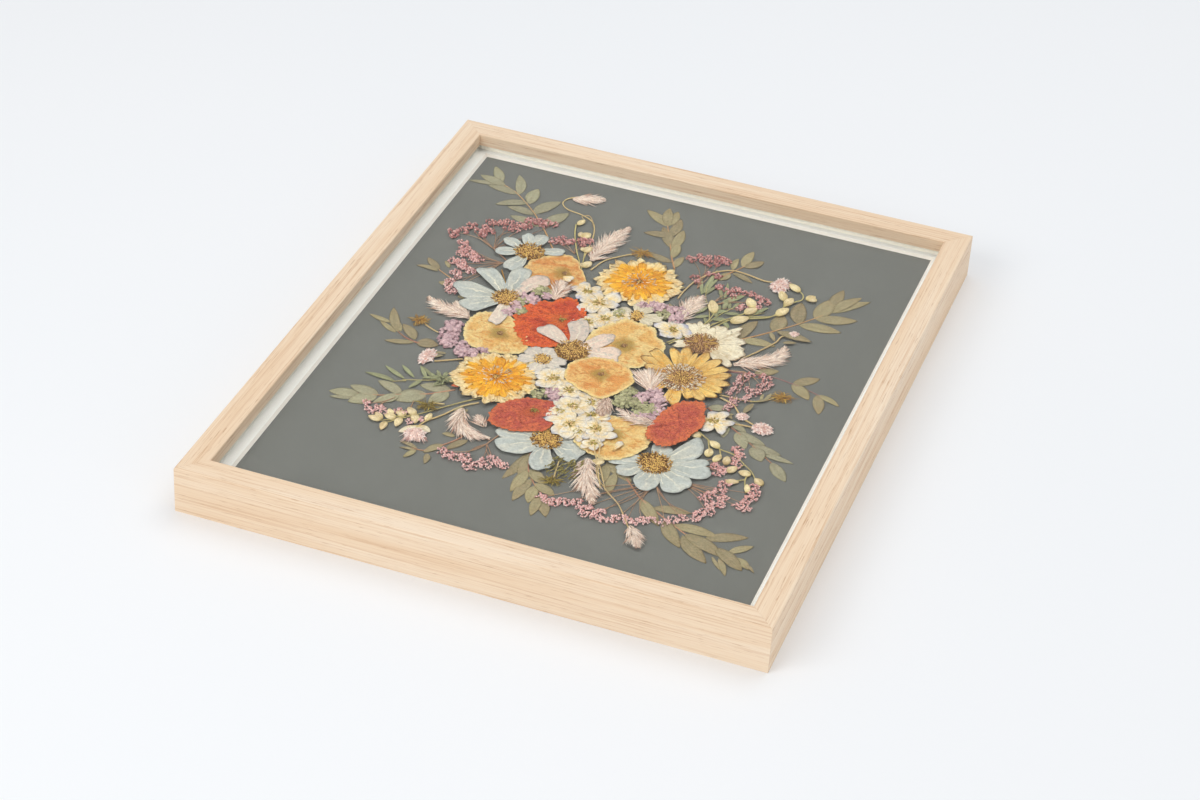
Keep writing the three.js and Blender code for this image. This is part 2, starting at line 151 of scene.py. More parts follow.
def blades(bases, tips, widths, shape, rows=9, columns=7, teeth=0.0, bow=0.0, arch=0.0, curl=0.0):
    """Flat pieces between bases and tips: a point lies along the line by its share of the
    length, cut back by teeth waves at the far end, and across it by half the width times
    shape, after bow has bent the line sideways. Its height is arch times a half sine along,
    plus curl times the square of its share across."""
    bases, tips = np.atleast_2d(bases).astype(float), np.atleast_2d(tips).astype(float)
    spread = lambda value: np.broadcast_to(np.asarray(value, float), len(bases))[:, None, None]
    along, across = grid(rows, columns)
    side = 2 * across - 1
    run = (tips - bases)[:, None, None, :]
    length = np.linalg.norm(run, axis=-1)
    wave = 0.5 + 0.5 * np.cos(3 * math.pi * side + 2.4 * spread(widths))
    notch = 1 - spread(teeth) * along**3 * wave
    sideways = side * spread(widths) / 2 * shape(along)
    sideways = sideways + spread(bow) * length * np.sin(math.pi * along)
    flat = bases[:, None, None, :] + run * (along * notch)[..., None]
    flat = flat + to_left(run) / length[..., None] * sideways[..., None]
    height = spread(arch) * np.sin(math.pi * along) + spread(curl) * side**2 * shape(along)
    return raised(flat, height)


def fan(root, outline, rows, columns, waves, phase, teeth=0.03):
    """A petal that opens from root to an outline drawn round its edge: a point lies at its
    share along the line from root to the smooth outline. Small waves cut the far edge, and
    pleats that run along it lift it a little."""
    root = np.asarray(root)
    edge = curve(outline, columns)
    reach = np.linalg.norm(edge - root, axis=1)
    far = (reach / reach.max()) ** 3
    share = np.linspace(0, 1, columns)
    wave = 0.5 + 0.5 * np.sin(waves * 2 * math.pi * share + phase)
    cut = 1 - teeth * far * wave * (1 + np.sin(31 * share + phase))
    edge = root + (edge - root) * cut[:, None]
    along, across = grid(rows, columns)
    flat = root + (edge - root)[None] * along[..., None]
    height = 0.12 * along * np.cos(14 * math.pi * across + phase) * (1 - 0.4 * along)
    return raised(flat, height)[None]


def map_of(surface):
    """How far across and how far along its surface each point lies."""
    along, across = grid(*surface.shape[1:3])
    return np.broadcast_to(np.stack([across, along], -1), (*surface.shape[:3], 2))


def cells(index):
    """The corners of each cell between rows and columns of numbered points."""
    corners = [index[:, :-1, :-1], index[:, 1:, :-1], index[:, 1:, 1:], index[:, :-1, 1:]]
    return np.stack(corners, -1)


class Specimen:
    """One pressed thing. Its surfaces are gathered as arrays of millimetres drawn on the card,
    with z above its layer, and lay() makes them one mesh."""

    def __init__(self, layer, seed):
        lift = layer * LAYER + PRESSED / 2 - DRAWN_AT
        self.place = np.array([LEAN[0] * lift, LEAN[1] * lift, CARD_TOP + layer * LAYER])
        self.random = np.random.default_rng(seed)
        self.points, self.quads, self.maps, self.shades = [], [], [], []
        self.finishes, self.order, self.smooth, self.count = [], [], [], 0

    def gather(self, points, quads, maps, shade, finish, smooth):
        """Adds points with their map places and shades, and quads that all have one finish."""
        if finish not in self.order:
            self.order.append(finish)
        self.points.append(points.reshape(-1, 3))
        self.quads.append(quads + self.count)
        self.maps.append(maps.reshape(-1, 2))
        self.shades.append(shade.reshape(-1, 3))
        self.finishes.append(np.full(len(quads), self.order.index(finish)))
        self.smooth.append(smooth)
        self.count += len(self.points[-1])

    def shade_of(self, shade, shape):
        """Three shades for each point: the first is drawn at random for each surface when it
        isn't given, the others are nought."""
        made = np.zeros((*shape[:3], 3))
        made[..., 0] = self.random.uniform(0, 1, shape[0])[:, None, None]
        for place, value in (shade or {}).items():
            value = np.asarray(value, float)
            made[..., place] = value[:, None, None] if value.ndim == 1 else value[..., : shape[2]]
        return made

    def shell(self, surface, finish, shade=None):
        """Closed surfaces whose rows are rings round them; the first ring and the last are
        single points. Rows run forwards and columns turn from right to left over the top."""
        index = np.arange(surface[..., 0].size).reshape(surface.shape[:3])
        quads = cells(np.concatenate([index, index[:, :, :1]], axis=2)).reshape(-1, 4)
        shade = self.shade_of(shade, surface.shape)
        self.gather(surface, quads, map_of(surface), shade, finish, np.ones(len(quads), bool))

    def sheet(self, surface, finish, shade=None, thickness=0.14, wrap=False):
        """Thin closed bodies: each surface, the same surface lower by thickness, and a wall
        round the edge. Where wrap is true the last column is the first and only the last row
        has a wall."""
        if wrap:
            surface = surface[:, :, :-1]
        index = np.arange(surface[..., 0].size).reshape(surface.shape[:3])
        below = index.size
        if wrap:
            full = np.concatenate([index, index[:, :, :1]], axis=2)
            start, stop = full[:, -1, :-1], full[:, -1, 1:]
        else:
            full = index
            sides = [index[:, :-1, 0], index[:, -1, :-1], index[:, :0:-1, -1], index[:, 0, :0:-1]]
            start = np.concatenate(sides, axis=1)
            stop = np.roll(start, -1, axis=1)
        top = cells(full).reshape(len(surface), -1, 4)
        walls = np.stack([start + below, stop + below, stop, start], -1)
        step_along = surface[:, 1:, :-1, :2] - surface[:, :-1, :-1, :2]
        step_across = surface[:, :-1, 1:, :2] - surface[:, :-1, :-1, :2]
        cross = step_along[..., 0] * step_across[..., 1] - step_along[..., 1] * step_across[..., 0]
        quads = np.concatenate([top, top[..., ::-1] + below, walls], axis=1)
        upside_down = cross.sum((1, 2)) < 0
        quads[upside_down] = quads[upside_down][..., ::-1]
        smooth = np.zeros(quads.shape[:2], bool)
        smooth[:, : top.shape[1]] = True
        under = surface - np.array([0, 0, thickness])
        twice = lambda values, width: np.concatenate([values.reshape(-1, width)] * 2)
        self.gather(
            np.concatenate([surface.reshape(-1, 3), under.reshape(-1, 3)]), quads.reshape(-1, 4),
            twice(map_of(surface), 2), twice(self.shade_of(shade, surface.shape), 3), finish,
            smooth.reshape(-1),
        )

    def tubes(self, paths, radii, finish, shade=None, sides=6, flat=1.0, ribs=0.0):
        """Round stems along paths: rings of the radii, square to the way the path goes and
        lowered by flat, with a point at each end. ribs lifts three ridges by its share."""
        paths = np.asarray(paths, float)
        paths = paths if paths.ndim == 3 else paths[None]
        radii = np.broadcast_to(radii, paths.shape[:2])
        ahead = np.gradient(paths, axis=1)
        ahead /= np.linalg.norm(ahead, axis=-1, keepdims=True) + 1e-9
        side = np.cross(ahead, [0.0, 0.0, 1.0])
        side /= np.linalg.norm(side, axis=-1, keepdims=True) + 1e-9
        up = np.cross(side, ahead)
        twice = lambda values: np.concatenate([values[:, :1], values, values[:, -1:]], axis=1)
        turn = np.linspace(0, TURN, sides, endpoint=False)[None, None, :, None]
        radii = np.pad(radii, ((0, 0), (1, 1)))[..., None, None]
        radii = radii * (1 + ribs * np.cos(3 * turn - math.pi / 2))
        ring = np.cos(turn) * twice(side)[:, :, None]
        ring = ring + flat * np.sin(turn) * twice(up)[:, :, None]
        self.shell(twice(paths)[:, :, None] + radii * ring, finish, shade)

    def stem(self, points, radius, finish, height=0.3, taper=1.0):
        """One stem through points of the drawing, at a height over the layer."""
        line = curve(points, 6 * len(points))
        line = np.column_stack([line, np.full(len(line), height)])
        self.tubes(line, radius * np.linspace(1, taper, len(line)), finish, flat=0.8)

    def beads(self, centres, radii, finish, shade, columns=6, tall=0.7):
        """Rounded grains: each ring turns round the upright, from the top point to the bottom."""
        centres = np.asarray(centres, float)
        radii = np.broadcast_to(radii, (len(centres),))[:, None, None]
        down, around = grid(5, columns + 1)
        down, around = down[:, :-1] * math.pi, around[:, :-1] * 2 * math.pi
        bump = 1 + 0.18 * np.cos(3 * around + 5 * radii)
        x = radii * np.sin(down) * np.cos(around) * bump
        y = radii * np.sin(down) * np.sin(around) * bump
        z = radii * tall * np.cos(down) + 0 * around
        self.shell(centres[:, None, None, :] + np.stack([x, y, z], -1), finish, shade)

    def lay(self, name, slot, node=None):
        """Makes the gathered surfaces one mesh on the layer and gives it its place in the part.
        One that would touch the glass is pressed flatter."""
        points = np.concatenate(self.points)
        room = GLASS_UNDER - CLEAR_OF_GLASS - self.place[2]
        points[:, 2] *= min(1.0, room / points[:, 2].max())
        points += self.place
        points[:, 2] = np.maximum(points[:, 2], CARD_TOP + CLEAR_OF_CARD)
        quads = np.concatenate(self.quads)
        corners = quads.ravel()
        mesh = bpy.data.meshes.new(name)
        mesh.vertices.add(len(points))
        mesh.vertices.foreach_set("co", (points / 1000).ravel())
        mesh.loops.add(quads.size)
        mesh.loops.foreach_set("vertex_index", corners)
        mesh.polygons.add(len(quads))
        mesh.polygons.foreach_set("loop_start", np.arange(0, quads.size, 4))
        mesh.polygons.foreach_set("material_index", np.concatenate(self.finishes))
        mesh.polygons.foreach_set("use_smooth", np.concatenate(self.smooth))
        mapped = mesh.uv_layers.new(name="UVMap").data
        mapped.foreach_set("uv", np.concatenate(self.maps)[corners].ravel())
        shades = np.concatenate(self.shades)
        shades = np.column_stack([shades, np.ones(len(shades))])
        kept = mesh.attributes.new("shade", "FLOAT_COLOR", "POINT").data
        kept.foreach_set("color", shades.ravel())
        for finish in self.order:
            mesh.materials.append(finish)
        mesh.update(calc_edges=True)
        work = bmesh.new()
        work.from_mesh(mesh)
        bmesh.ops.remove_doubles(work, verts=work.verts, dist=SAME_POINT)
        work.to_mesh(mesh)
        work.free()
        piece = show(name, mesh)
        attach(piece, "root")
        if node:
            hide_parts(node)

    def stand_in(self, node, slot):
        """Lays the specimen in place of its plain solid."""
        self.lay(node + "_look", slot, node)


# ---------------------------------------------------------------- finishes


def tone(colour):
    """A colour given as it is mixed on a screen, 0 to 255, as linear light. A socket stays
    as it is."""
    if isinstance(colour, bpy.types.NodeSocket):
        return colour
    share = np.array(colour) / 255
    linear = np.where(share <= 0.04045, share / 12.92, ((share + 0.055) / 1.055) ** 2.4)
    return (*linear.tolist(), 1.0)


class Bench:
    """Adds nodes to one tree. An input that is a socket is linked, anything else is set."""

    def __init__(self, tree):
        self.tree = tree

    def node(self, kind, inputs=(), **settings):
        made = self.tree.nodes.new("ShaderNode" + kind)
        for key, value in settings.items():
            setattr(made, key, value)
        for key, value in dict(inputs).items():
            if isinstance(value, bpy.types.NodeSocket):
                self.tree.links.new(value, made.inputs[key])
            else:
                made.inputs[key].default_value = value
        return made

    def place(self):
        """Where a point is in the part, in metres."""
        return self.node("TexCoord").outputs["Object"]

    def where(self):
        """How far across its surface a point is, and how far along."""
        return self.node("SeparateXYZ", {0: self.node("UVMap", uv_map="UVMap").outputs[0]}).outputs

    def shades(self):
        """The three shades that a specimen gives each point."""
        stored = self.node("Attribute", attribute_name="shade").outputs[0]
        return self.node("SeparateColor", {0: stored}).outputs

    def mix(self, factor, a, b):
        return self.node("Mix", {0: factor, 6: tone(a), 7: tone(b)}, data_type="RGBA").outputs[2]

    def over(self, colour, mask, share, other):
        """A colour with another over it, by share of a mask."""
        return self.mix(self.times(mask, share), colour, other)

    def math(self, operation, *values):
        return self.node("Math", dict(enumerate(values)), operation=operation).outputs[0]

    def times(self, a, b):
        return self.math("MULTIPLY", a, b)

    def plus(self, a, b):
        return self.math("ADD", a, b)

    def less(self, a, b):
        return self.math("SUBTRACT", a, b)

    def remap(self, value, low, high, to_low=0.0, to_high=1.0):
        inputs = dict(enumerate([value, low, high, to_low, to_high]))
        return self.node("MapRange", inputs, interpolation_type="SMOOTHSTEP").outputs[0]

    def noise(self, place, scale, detail=3.0, roughness=0.55, distortion=0.0):
        inputs = {"Vector": place, "Scale": scale, "Detail": detail}
        inputs |= {"Roughness": roughness, "Distortion": distortion}
        return self.node("TexNoise", inputs).outputs["Fac"]

    def stretched(self, place, scale):
        return self.node("Mapping", {"Vector": place, "Scale": scale}).outputs[0]

    def ramp(self, value, stops):
        made = self.node("ValToRGB", {"Fac": value})
        while len(made.color_ramp.elements) < len(stops):
            made.color_ramp.elements.new(0.5)
        for element, (place, colour) in zip(made.color_ramp.elements, stops):
            element.position, element.color = place, tone(colour)
        return made.outputs[0]

    def group(self, made, inputs):
        return self.node("Group", inputs, node_tree=made).outputs


class Effect(Bench):
    """A node group with named sockets: given are its inputs, and give() links an output."""

    def __init__(self, name, inputs, *outputs):
        super().__init__(bpy.data.node_groups.new(name, "ShaderNodeTree"))
        sockets = [(name, "INPUT", kind, value) for name, (kind, value) in inputs.items()]
        sockets += [(name, "OUTPUT", kind, None) for name, kind in outputs]
        for name, way, kind, value in sockets:
            made = self.tree.interface.new_socket(name=name, in_out=way, socket_type="NodeSocket" + kind)
            if value is not None:
                made.default_value = value
        self.given = self.tree.nodes.new("NodeGroupInput").outputs
        self.out = self.tree.nodes.new("NodeGroupOutput").inputs

    def give(self, name, value):
        self.tree.links.new(value, self.out[name])


class Finish(Bench):
    """A material with one Principled shader, whose inputs are set or linked."""

    def __init__(self, name, roughness, **constants):
        self.material = bpy.data.materials.new(name)
        self.material.use_nodes = True
        super().__init__(self.material.node_tree)
        self.shader = self.tree.nodes["Principled BSDF"]
        self.shader.inputs["Roughness"].default_value = roughness
        for key, value in constants.items():
            self.shader.inputs[key.replace("_", " ")].default_value = value

    def give(self, name, value):
        self.tree.links.new(value, self.shader.inputs[name])

    def close(self, colour, height, strength, distance, spread=None):
        """Sets the colour, with a shade of its own where spread is given, and the relief."""
        if spread is not None:
            colour = self.group(OWN_SHADE, {"Color": colour, "Range": spread})["Color"]
        self.give("Base Color", colour)
        relief = {"Height": height, "Strength": strength, "Distance": distance}
        self.give("Normal", self.node("Bump", relief).outputs[0])
        return self.material


def grain_effect():
    """Straight pale wood. Along the first coordinate run broad bands, long fine lines, finer
    fibres and short dark pores in the lines, as a colour and a height."""
    bench = Effect("Straight grain", {"Place": ("Vector", None)}, ("Color", "Color"), ("Height", "Float"))
    place = bench.given["Place"]
    bands = bench.noise(bench.stretched(place, (2.5, 70, 70)), 1, 2, 0.5, 0.4)
    lines = bench.noise(bench.stretched(place, (9, 720, 720)), 1, 3, 0.7, 0.3)
    fibres = bench.noise(bench.stretched(place, (20, 1300, 1300)), 1, 2, 0.6)
    pores = bench.noise(bench.stretched(place, (75, 1150, 1150)), 1, 2, 0.5)
    ground = bench.ramp(bands, [(0.3, (240, 213, 182)), (0.52, (245, 222, 194)), (0.7, (248, 229, 205))])
    line = bench.remap(lines, 0.48, 0.66)
    ground = bench.over(ground, line, 0.55, (214, 174, 136))
    fibre = bench.remap(fibres, 0.4, 0.7)
    ground = bench.over(ground, fibre, 0.25, (224, 184, 142))
    pore = bench.times(bench.remap(pores, 0.6, 0.7), bench.remap(lines, 0.4, 0.6, 0.2, 1))
    bench.give("Color", bench.over(ground, pore, 0.5, (180, 134, 94)))
    sunk = bench.math("MAXIMUM", pore, bench.times(line, 0.6))
    bench.give("Height", bench.less(bench.times(fibre, 0.3), sunk))
    return bench.tree


def streak_effect():
    """Fine lines that run along a petal: noise that is short across it and long along it,
    shifted for each petal."""
    defaults = {"Count": 9.0, "Run": 1.2, "Low": 0.42, "High": 0.66}
    inputs = {name: ("Float", value) for name, value in defaults.items()}
    bench = Effect("Petal streaks", inputs, ("Mask", "Float"))
    where = bench.where()
    across = bench.times(where[0], bench.given["Count"])
    along = bench.times(where[1], bench.given["Run"])
    place = bench.node("CombineXYZ", {0: across, 1: along, 2: bench.times(bench.shades()[0], 53.0)})
    noise = bench.noise(place.outputs[0], 1.0, 3, 0.6, 0.2)
    bench.give("Mask", bench.remap(noise, bench.given["Low"], bench.given["High"]))
    return bench.tree


def vein_effect():
    """Veins that run the length of a petal: the crests of a cosine across it that wanders a
    little, strongest near the foot."""
    bench = Effect("Petal veins", {"Count": ("Float", 7.0)}, ("Mask", "Float"))
    where = bench.where()
    place = bench.node("CombineXYZ", {0: where[0], 1: where[1], 2: bench.times(bench.shades()[0], 19.0)})
    wander = bench.times(bench.noise(place.outputs[0], 4.0, 2), 0.5)
    turn = bench.times(bench.plus(where[0], bench.times(wander, 0.4)), bench.given["Count"])
    crest = bench.math("COSINE", bench.times(turn, TURN))
    fade = bench.remap(where[1], 1.05, 0.35)
    bench.give("Mask", bench.times(bench.remap(crest, 0.72, 1.0), fade))
    return bench.tree


def rim_effect():
    """A mask of a petal's edge: one on its far end and sides, falling to nought inwards over
    Width, with an uneven border."""
    bench = Effect("Petal rim", {"Width": ("Float", 0.12), "Sides": ("Float", 1.0)}, ("Mask", "Float"))
    where = bench.where()
    side = bench.math("ABSOLUTE", bench.less(bench.times(where[0], 2.0), 1.0))
    furthest = bench.math("MAXIMUM", bench.times(side, bench.given["Sides"]), where[1])
    furthest = bench.plus(furthest, bench.times(bench.noise(bench.place(), 700, 2), 0.12))
    bench.give("Mask", bench.remap(furthest, bench.less(1.06, bench.given["Width"]), 1.06))
    return bench.tree


def own_shade_effect():
    """Shifts a colour a little for each leaf or petal, by the first of its three shades, and
    mottles it all over."""
    inputs = {"Color": ("Color", None), "Range": ("Float", 0.2), "Mottle": ("Float", 0.9)}
    bench = Effect("Own shade", inputs, ("Color", "Color"))
    shift = bench.times(bench.less(bench.shades()[0], 0.5), bench.given["Range"])
    mottle = bench.less(bench.noise(bench.place(), 620, 5, 0.68), 0.5)
    value = bench.plus(bench.plus(0.98, shift), bench.times(mottle, bench.given["Mottle"]))
    hue = bench.plus(0.5, bench.times(shift, 0.06))
    made = bench.node("HueSaturation", {"Hue": hue, "Value": value, "Color": bench.given["Color"]})
    bench.give("Color", made.outputs[0])
    return bench.tree


GRAIN = grain_effect()
STREAKS = streak_effect()
VEINS = vein_effect()
RIM = rim_effect()
OWN_SHADE = own_shade_effect()


def wood_finish(name, turned):
    """Waxed pale wood with its grain along x, or along y where turned."""
    bench = Finish(name, 0.52, Specular_IOR_Level=0.35)
    place = bench.place()
    if turned:
        place = bench.node("Mapping", {"Vector": place, "Rotation": (0, 0, math.pi / 2)}).outputs[0]
        place = bench.node("Mapping", {"Vector": place, "Location": (3.1, 1.7, 0.4)}).outputs[0]
    grain = bench.group(GRAIN, {"Place": place})
    bench.give("Roughness", bench.remap(grain["Height"], -1.0, 0.4, 0.68, 0.48))
    return bench.close(grain["Color"], grain["Height"], 0.25, 0.00012)


def board_finish(
    name, colour, speck, speck_share, tooth, roughness=0.85, scale=2600, core=None, core_top=0.0
):
    """Paper or board: an even colour with faint clouds, sparse specks and a fine tooth, and
    the colour of its core where a cut shows it, below core_top."""
    bench = Finish(name, roughness, Specular_IOR_Level=0.2)
    place = bench.place()
    if core:
        height = bench.node("SeparateXYZ", {0: place}).outputs[2]
        colour = bench.mix(bench.remap(height, core_top - 0.0001, core_top), core, colour)
    ground = bench.over(colour, bench.remap(bench.noise(place, 30, 4), 0.3, 0.7), 0.06, speck)
    specks = bench.remap(bench.noise(place, scale, 1), 1 - speck_share, 1.04 - speck_share)
    ground = bench.over(ground, specks, 0.6, speck)
    return bench.close(ground, bench.noise(place, scale * 1.4, 3), tooth, 0.0001)


def glass_finish():
    """Clear picture glass with a coating that keeps it from mirroring the room, so it bends
    light less than plain glass does. Lamps shine straight through it."""
    bench = Finish("Clear glass", 0.0, IOR=1.18, Transmission_Weight=1.0, Base_Color=(0.935, 0.94, 0.935, 1))
    shadow = bench.node("LightPath").outputs["Is Shadow Ray"]
    clear = bench.node("BsdfTransparent").outputs[0]
    both = bench.node("MixShader", {0: shadow, 1: bench.shader.outputs[0], 2: clear})
    out = next(node for node in bench.tree.nodes if node.type == "OUTPUT_MATERIAL")
    bench.tree.links.new(both.outputs[0], out.inputs[0])
    return bench.material


def metal_finish(name, colour, worn, roughness):
    """Rolled sheet metal: fine scratches along it and duller patches."""
    bench = Finish(name, roughness, Metallic=1.0)
    place = bench.place()
    patches = bench.remap(bench.noise(place, 260, 4), 0.42, 0.68)
    scratches = bench.noise(bench.stretched(place, (300, 5000, 5000)), 1, 2)
    bench.give("Roughness", bench.remap(patches, 0, 1, roughness, roughness + 0.25))
    return bench.close(bench.mix(patches, colour, worn), scratches, 0.15, 0.00005)


def petal_finish(
    name, foot, middle, end, streak, depth, count, rim=None, rim_width=0.12, rim_depth=0.8,
    patch=None, patch_depth=0.5, warm=None, spread=0.14, veins=0.0, vein=None, vein_depth=0.6,
):
    """A dried petal or leaf: three colours from its foot to its end, streaks along it, a rim that is partly
    its own darker edge and partly painted shade outlining it, patches that have gone another colour,
    and a shade of its own. warm shows by the second shade, where a petal lies over a darker flower."""
    bench = Finish(name, 0.62, Specular_IOR_Level=0.12)
    place = bench.place()
    wander = bench.times(bench.less(bench.noise(place, 260, 3), 0.5), 0.3)
    along = bench.plus(bench.where()[1], wander)
    colour = bench.ramp(along, [(0.05, foot), (0.45, middle), (0.92, end)])
    streaks = bench.group(STREAKS, {"Count": count, "Run": 1.2})["Mask"]
    colour = bench.over(colour, streaks, depth, streak)
    if warm:
        colour = bench.mix(bench.shades()[1], colour, warm)
    if vein:
        lines = bench.group(VEINS, {"Count": veins})["Mask"]
        colour = bench.over(colour, lines, vein_depth, vein)
        streaks = bench.plus(streaks, lines)
    if patch:
        cloud = bench.remap(bench.noise(place, 190, 3, 0.6, 0.5), 0.52, 0.66)
        colour = bench.over(colour, cloud, patch_depth, patch)
    # The rim colour is partly the dried edge's own darker colour and partly painted shade that outlines each
    # petal and leaf.
    if rim:
        edge = bench.group(RIM, {"Width": rim_width, "Sides": 1.0})["Mask"]
        colour = bench.over(colour, edge, rim_depth, rim)
    height = bench.plus(streaks, bench.times(bench.noise(place, 1500, 2), 0.5))
    return bench.close(colour, height, 0.35, 0.00018, spread)


def grain_finish(name, pale, dark, tip, spread=0.3):
    """Small grains, florets and bristles: pale to dark by the third shade, a tip colour towards the far end
    of a thread and the underside of a grain, and a shade of their own.
    Some kinds of specimen fill the third shade with painted shade, darker where a grain lies low in a heap."""
    bench = Finish(name, 0.75, Specular_IOR_Level=0.1)
    colour = bench.mix(bench.remap(bench.where()[1], 0.3, 0.95), pale, tip)
    colour = bench.mix(bench.shades()[2], colour, dark)
    mottle = bench.noise(bench.place(), 1600, 2)
    colour = bench.over(colour, bench.remap(mottle, 0.45, 0.75), 0.35, dark)
    return bench.close(colour, mottle, 0.4, 0.0002, spread)


def washed_finish(name, ground, wash, deep, edge, eye, crease, cloud_size, mottle):
    """A round papery flower. Washes of two deeper colours lie in clouds, the edge is broken,
    fine mottling covers it all, and by the third shade the crease colour paints shade into its
    creases and the hollows of its wrinkles. The second shade carries the colour from the eye to the edge."""
    bench = Finish(name, 0.6, Specular_IOR_Level=0.12)
    place, shade = bench.place(), bench.shades()
    cloud = bench.noise(place, cloud_size, 4, 0.6, 0.9)
    second = bench.noise(bench.stretched(place, (1.3, 1.7, 1)), cloud_size * 2.1, 3, 0.6, 0.5)
    fine = bench.noise(place, 780, 4, 0.6)
    reach = bench.plus(shade[1], bench.times(bench.less(second, 0.5), 0.28))
    spot = bench.plus(shade[1], bench.times(fine, 0.12))
    colour = bench.mix(bench.remap(cloud, 0.4, 0.58), ground, wash)
    colour = bench.over(colour, bench.remap(second, 0.5, 0.66), 0.8, deep)
    colour = bench.over(colour, bench.remap(fine, 0.5, 0.66), mottle, deep)
    colour = bench.over(colour, bench.remap(reach, 0.84, 1.0), 0.85, edge)
    colour = bench.over(colour, bench.remap(reach, 0.42, 0.15), 0.85, eye)
    colour = bench.over(colour, bench.remap(spot, 0.19, 0.11), 0.8, (96, 62, 34))
    # Painted shade: the crease colour darkens the creases and wrinkle hollows, by the third shade.
    colour = bench.over(colour, shade[2], 0.75, crease)
    return bench.close(colour, bench.plus(second, fine), 0.45, 0.0005, 0.1)


MAT_CORE_TOP = 0.02165  # metres, just under the mat's face
WOOD_ACROSS = wood_finish("Pale wood across", False)
WOOD_UPRIGHT = wood_finish("Pale wood upright", True)
MAT_BOARD = board_finish(
    "Cream mat", (250, 249, 243), (236, 233, 224), 0.12, 0.08, core=(239, 233, 223), core_top=MAT_CORE_TOP,
)
SPACER_BOARD = board_finish("White spacer", (250, 244, 230), (238, 230, 214), 0.12, 0.05)
GREY_CARD = board_finish("Grey card", (116, 117, 112), (150, 150, 144), 0.24, 0.3, 0.9, 1500)
FOAM_CORE = board_finish("Foam core", (236, 236, 232), (205, 205, 200), 0.25, 0.3)
HARDBOARD = board_finish("Hardboard", (134, 99, 66), (88, 62, 40), 0.42, 0.8, 0.8, 1300)
CLEAR_GLASS = glass_finish()
POINT_STEEL = metal_finish("Point steel", (170, 172, 175), (120, 118, 115), 0.35)
HANGER_BRASS = metal_finish("Hanger brass", (205, 170, 100), (150, 115, 60), 0.32)

FRAME_FINISHES = {
    "rail_bottom": WOOD_ACROSS, "rail_top": WOOD_ACROSS,
    "rail_left": WOOD_UPRIGHT, "rail_right": WOOD_UPRIGHT,
    "glass": CLEAR_GLASS, "window_mat": MAT_BOARD, "mount_card": GREY_CARD, "foam_board": FOAM_CORE,
    "back_board": HARDBOARD, "sawtooth_hanger": HANGER_BRASS, "framers_point": POINT_STEEL,
    "spacer": SPACER_BOARD,
}
for node, piece in cad_nodes.items():
    for start, finish in FRAME_FINISHES.items():
        if node.startswith(start):
            piece.data.materials.clear()
            piece.data.materials.append(finish)

LEAF = petal_finish(
    "Dried leaf", (158, 146, 112), (164, 153, 120), (158, 143, 108), (138, 127, 94), 0.5, 7,
    (134, 114, 82), 0.08, 0.6, (178, 158, 126), 0.35, spread=0.24,
)
GREY_LEAF = petal_finish(
    "Grey dried leaf", (158, 152, 124), (166, 162, 135), (160, 155, 126), (144, 140, 112), 0.45, 7,
    (144, 128, 98), 0.08, 0.5, (180, 168, 140), 0.35, spread=0.18,
)
LEAF_STEM = grain_finish("Leaf stem", (186, 136, 112), (146, 100, 80), (186, 142, 112))
TAN_STEM = grain_finish("Tan stem", (198, 152, 108), (152, 112, 76), (200, 160, 118))
PURPLE_STEM = grain_finish("Purple stem", (158, 122, 120), (116, 86, 84), (160, 124, 118))
COSMOS = petal_finish(
    "Cosmos petal", (181, 179, 164), (180, 185, 178), (191, 196, 190), (210, 208, 193), 0.7, 7,
    (170, 175, 170), 0.05, 0.5, (168, 172, 167), 0.55, warm=(236, 208, 188), spread=0.1, veins=5,
    vein=(236, 230, 208), vein_depth=0.85,
)
AGED_PETAL = petal_finish(
    "Aged daisy petal", (196, 172, 122), (210, 198, 172), (218, 208, 184), (184, 168, 136), 0.5, 6,
    (172, 156, 122), 0.08, 0.6, veins=5, vein=(236, 228, 206), vein_depth=0.5, spread=0.2,
)
GOLD_FLORET = grain_finish("Golden floret", (230, 188, 110), (94, 56, 28), (214, 168, 90), 0.34)
ORANGE_PETAL = petal_finish(
    "Orange petal", (206, 124, 26), (244, 170, 36), (248, 192, 70), (188, 104, 24), 0.6, 7,
    (176, 98, 28), 0.08, 0.75, (238, 150, 26), 0.5, spread=0.26,
)
CREAM_ORANGE_PETAL = petal_finish(
    "Cream orange petal", (240, 150, 30), (247, 196, 98), (242, 226, 180), (200, 148, 78), 0.6, 6,
    (186, 150, 98), 0.06, 0.7, (240, 200, 120), 0.5, spread=0.14,
)
CREAM_PETAL = petal_finish(
    "Cream petal", (214, 190, 134), (236, 223, 192), (242, 233, 208), (190, 166, 122), 0.45, 6,
    (164, 126, 84), 0.07, 0.65, (208, 182, 136), 0.4, spread=0.1,
)
OCHRE_PETAL = petal_finish(
    "Ochre petal", (176, 128, 58), (230, 188, 104), (238, 206, 132), (172, 118, 56), 0.65, 6,
    (140, 96, 50), 0.08, 0.85, (234, 168, 66), 0.6, spread=0.2,
)
BROWN_DISC = grain_finish("Brown disc floret", (198, 156, 112), (120, 86, 60), (232, 196, 146), 0.35)
PALE_FLORET = grain_finish("Pale floret", (240, 226, 198), (176, 140, 94), (252, 246, 230), 0.2)
GREEN_FLORET = grain_finish("Olive floret", (190, 176, 90), (120, 96, 50), (224, 206, 120), 0.25)
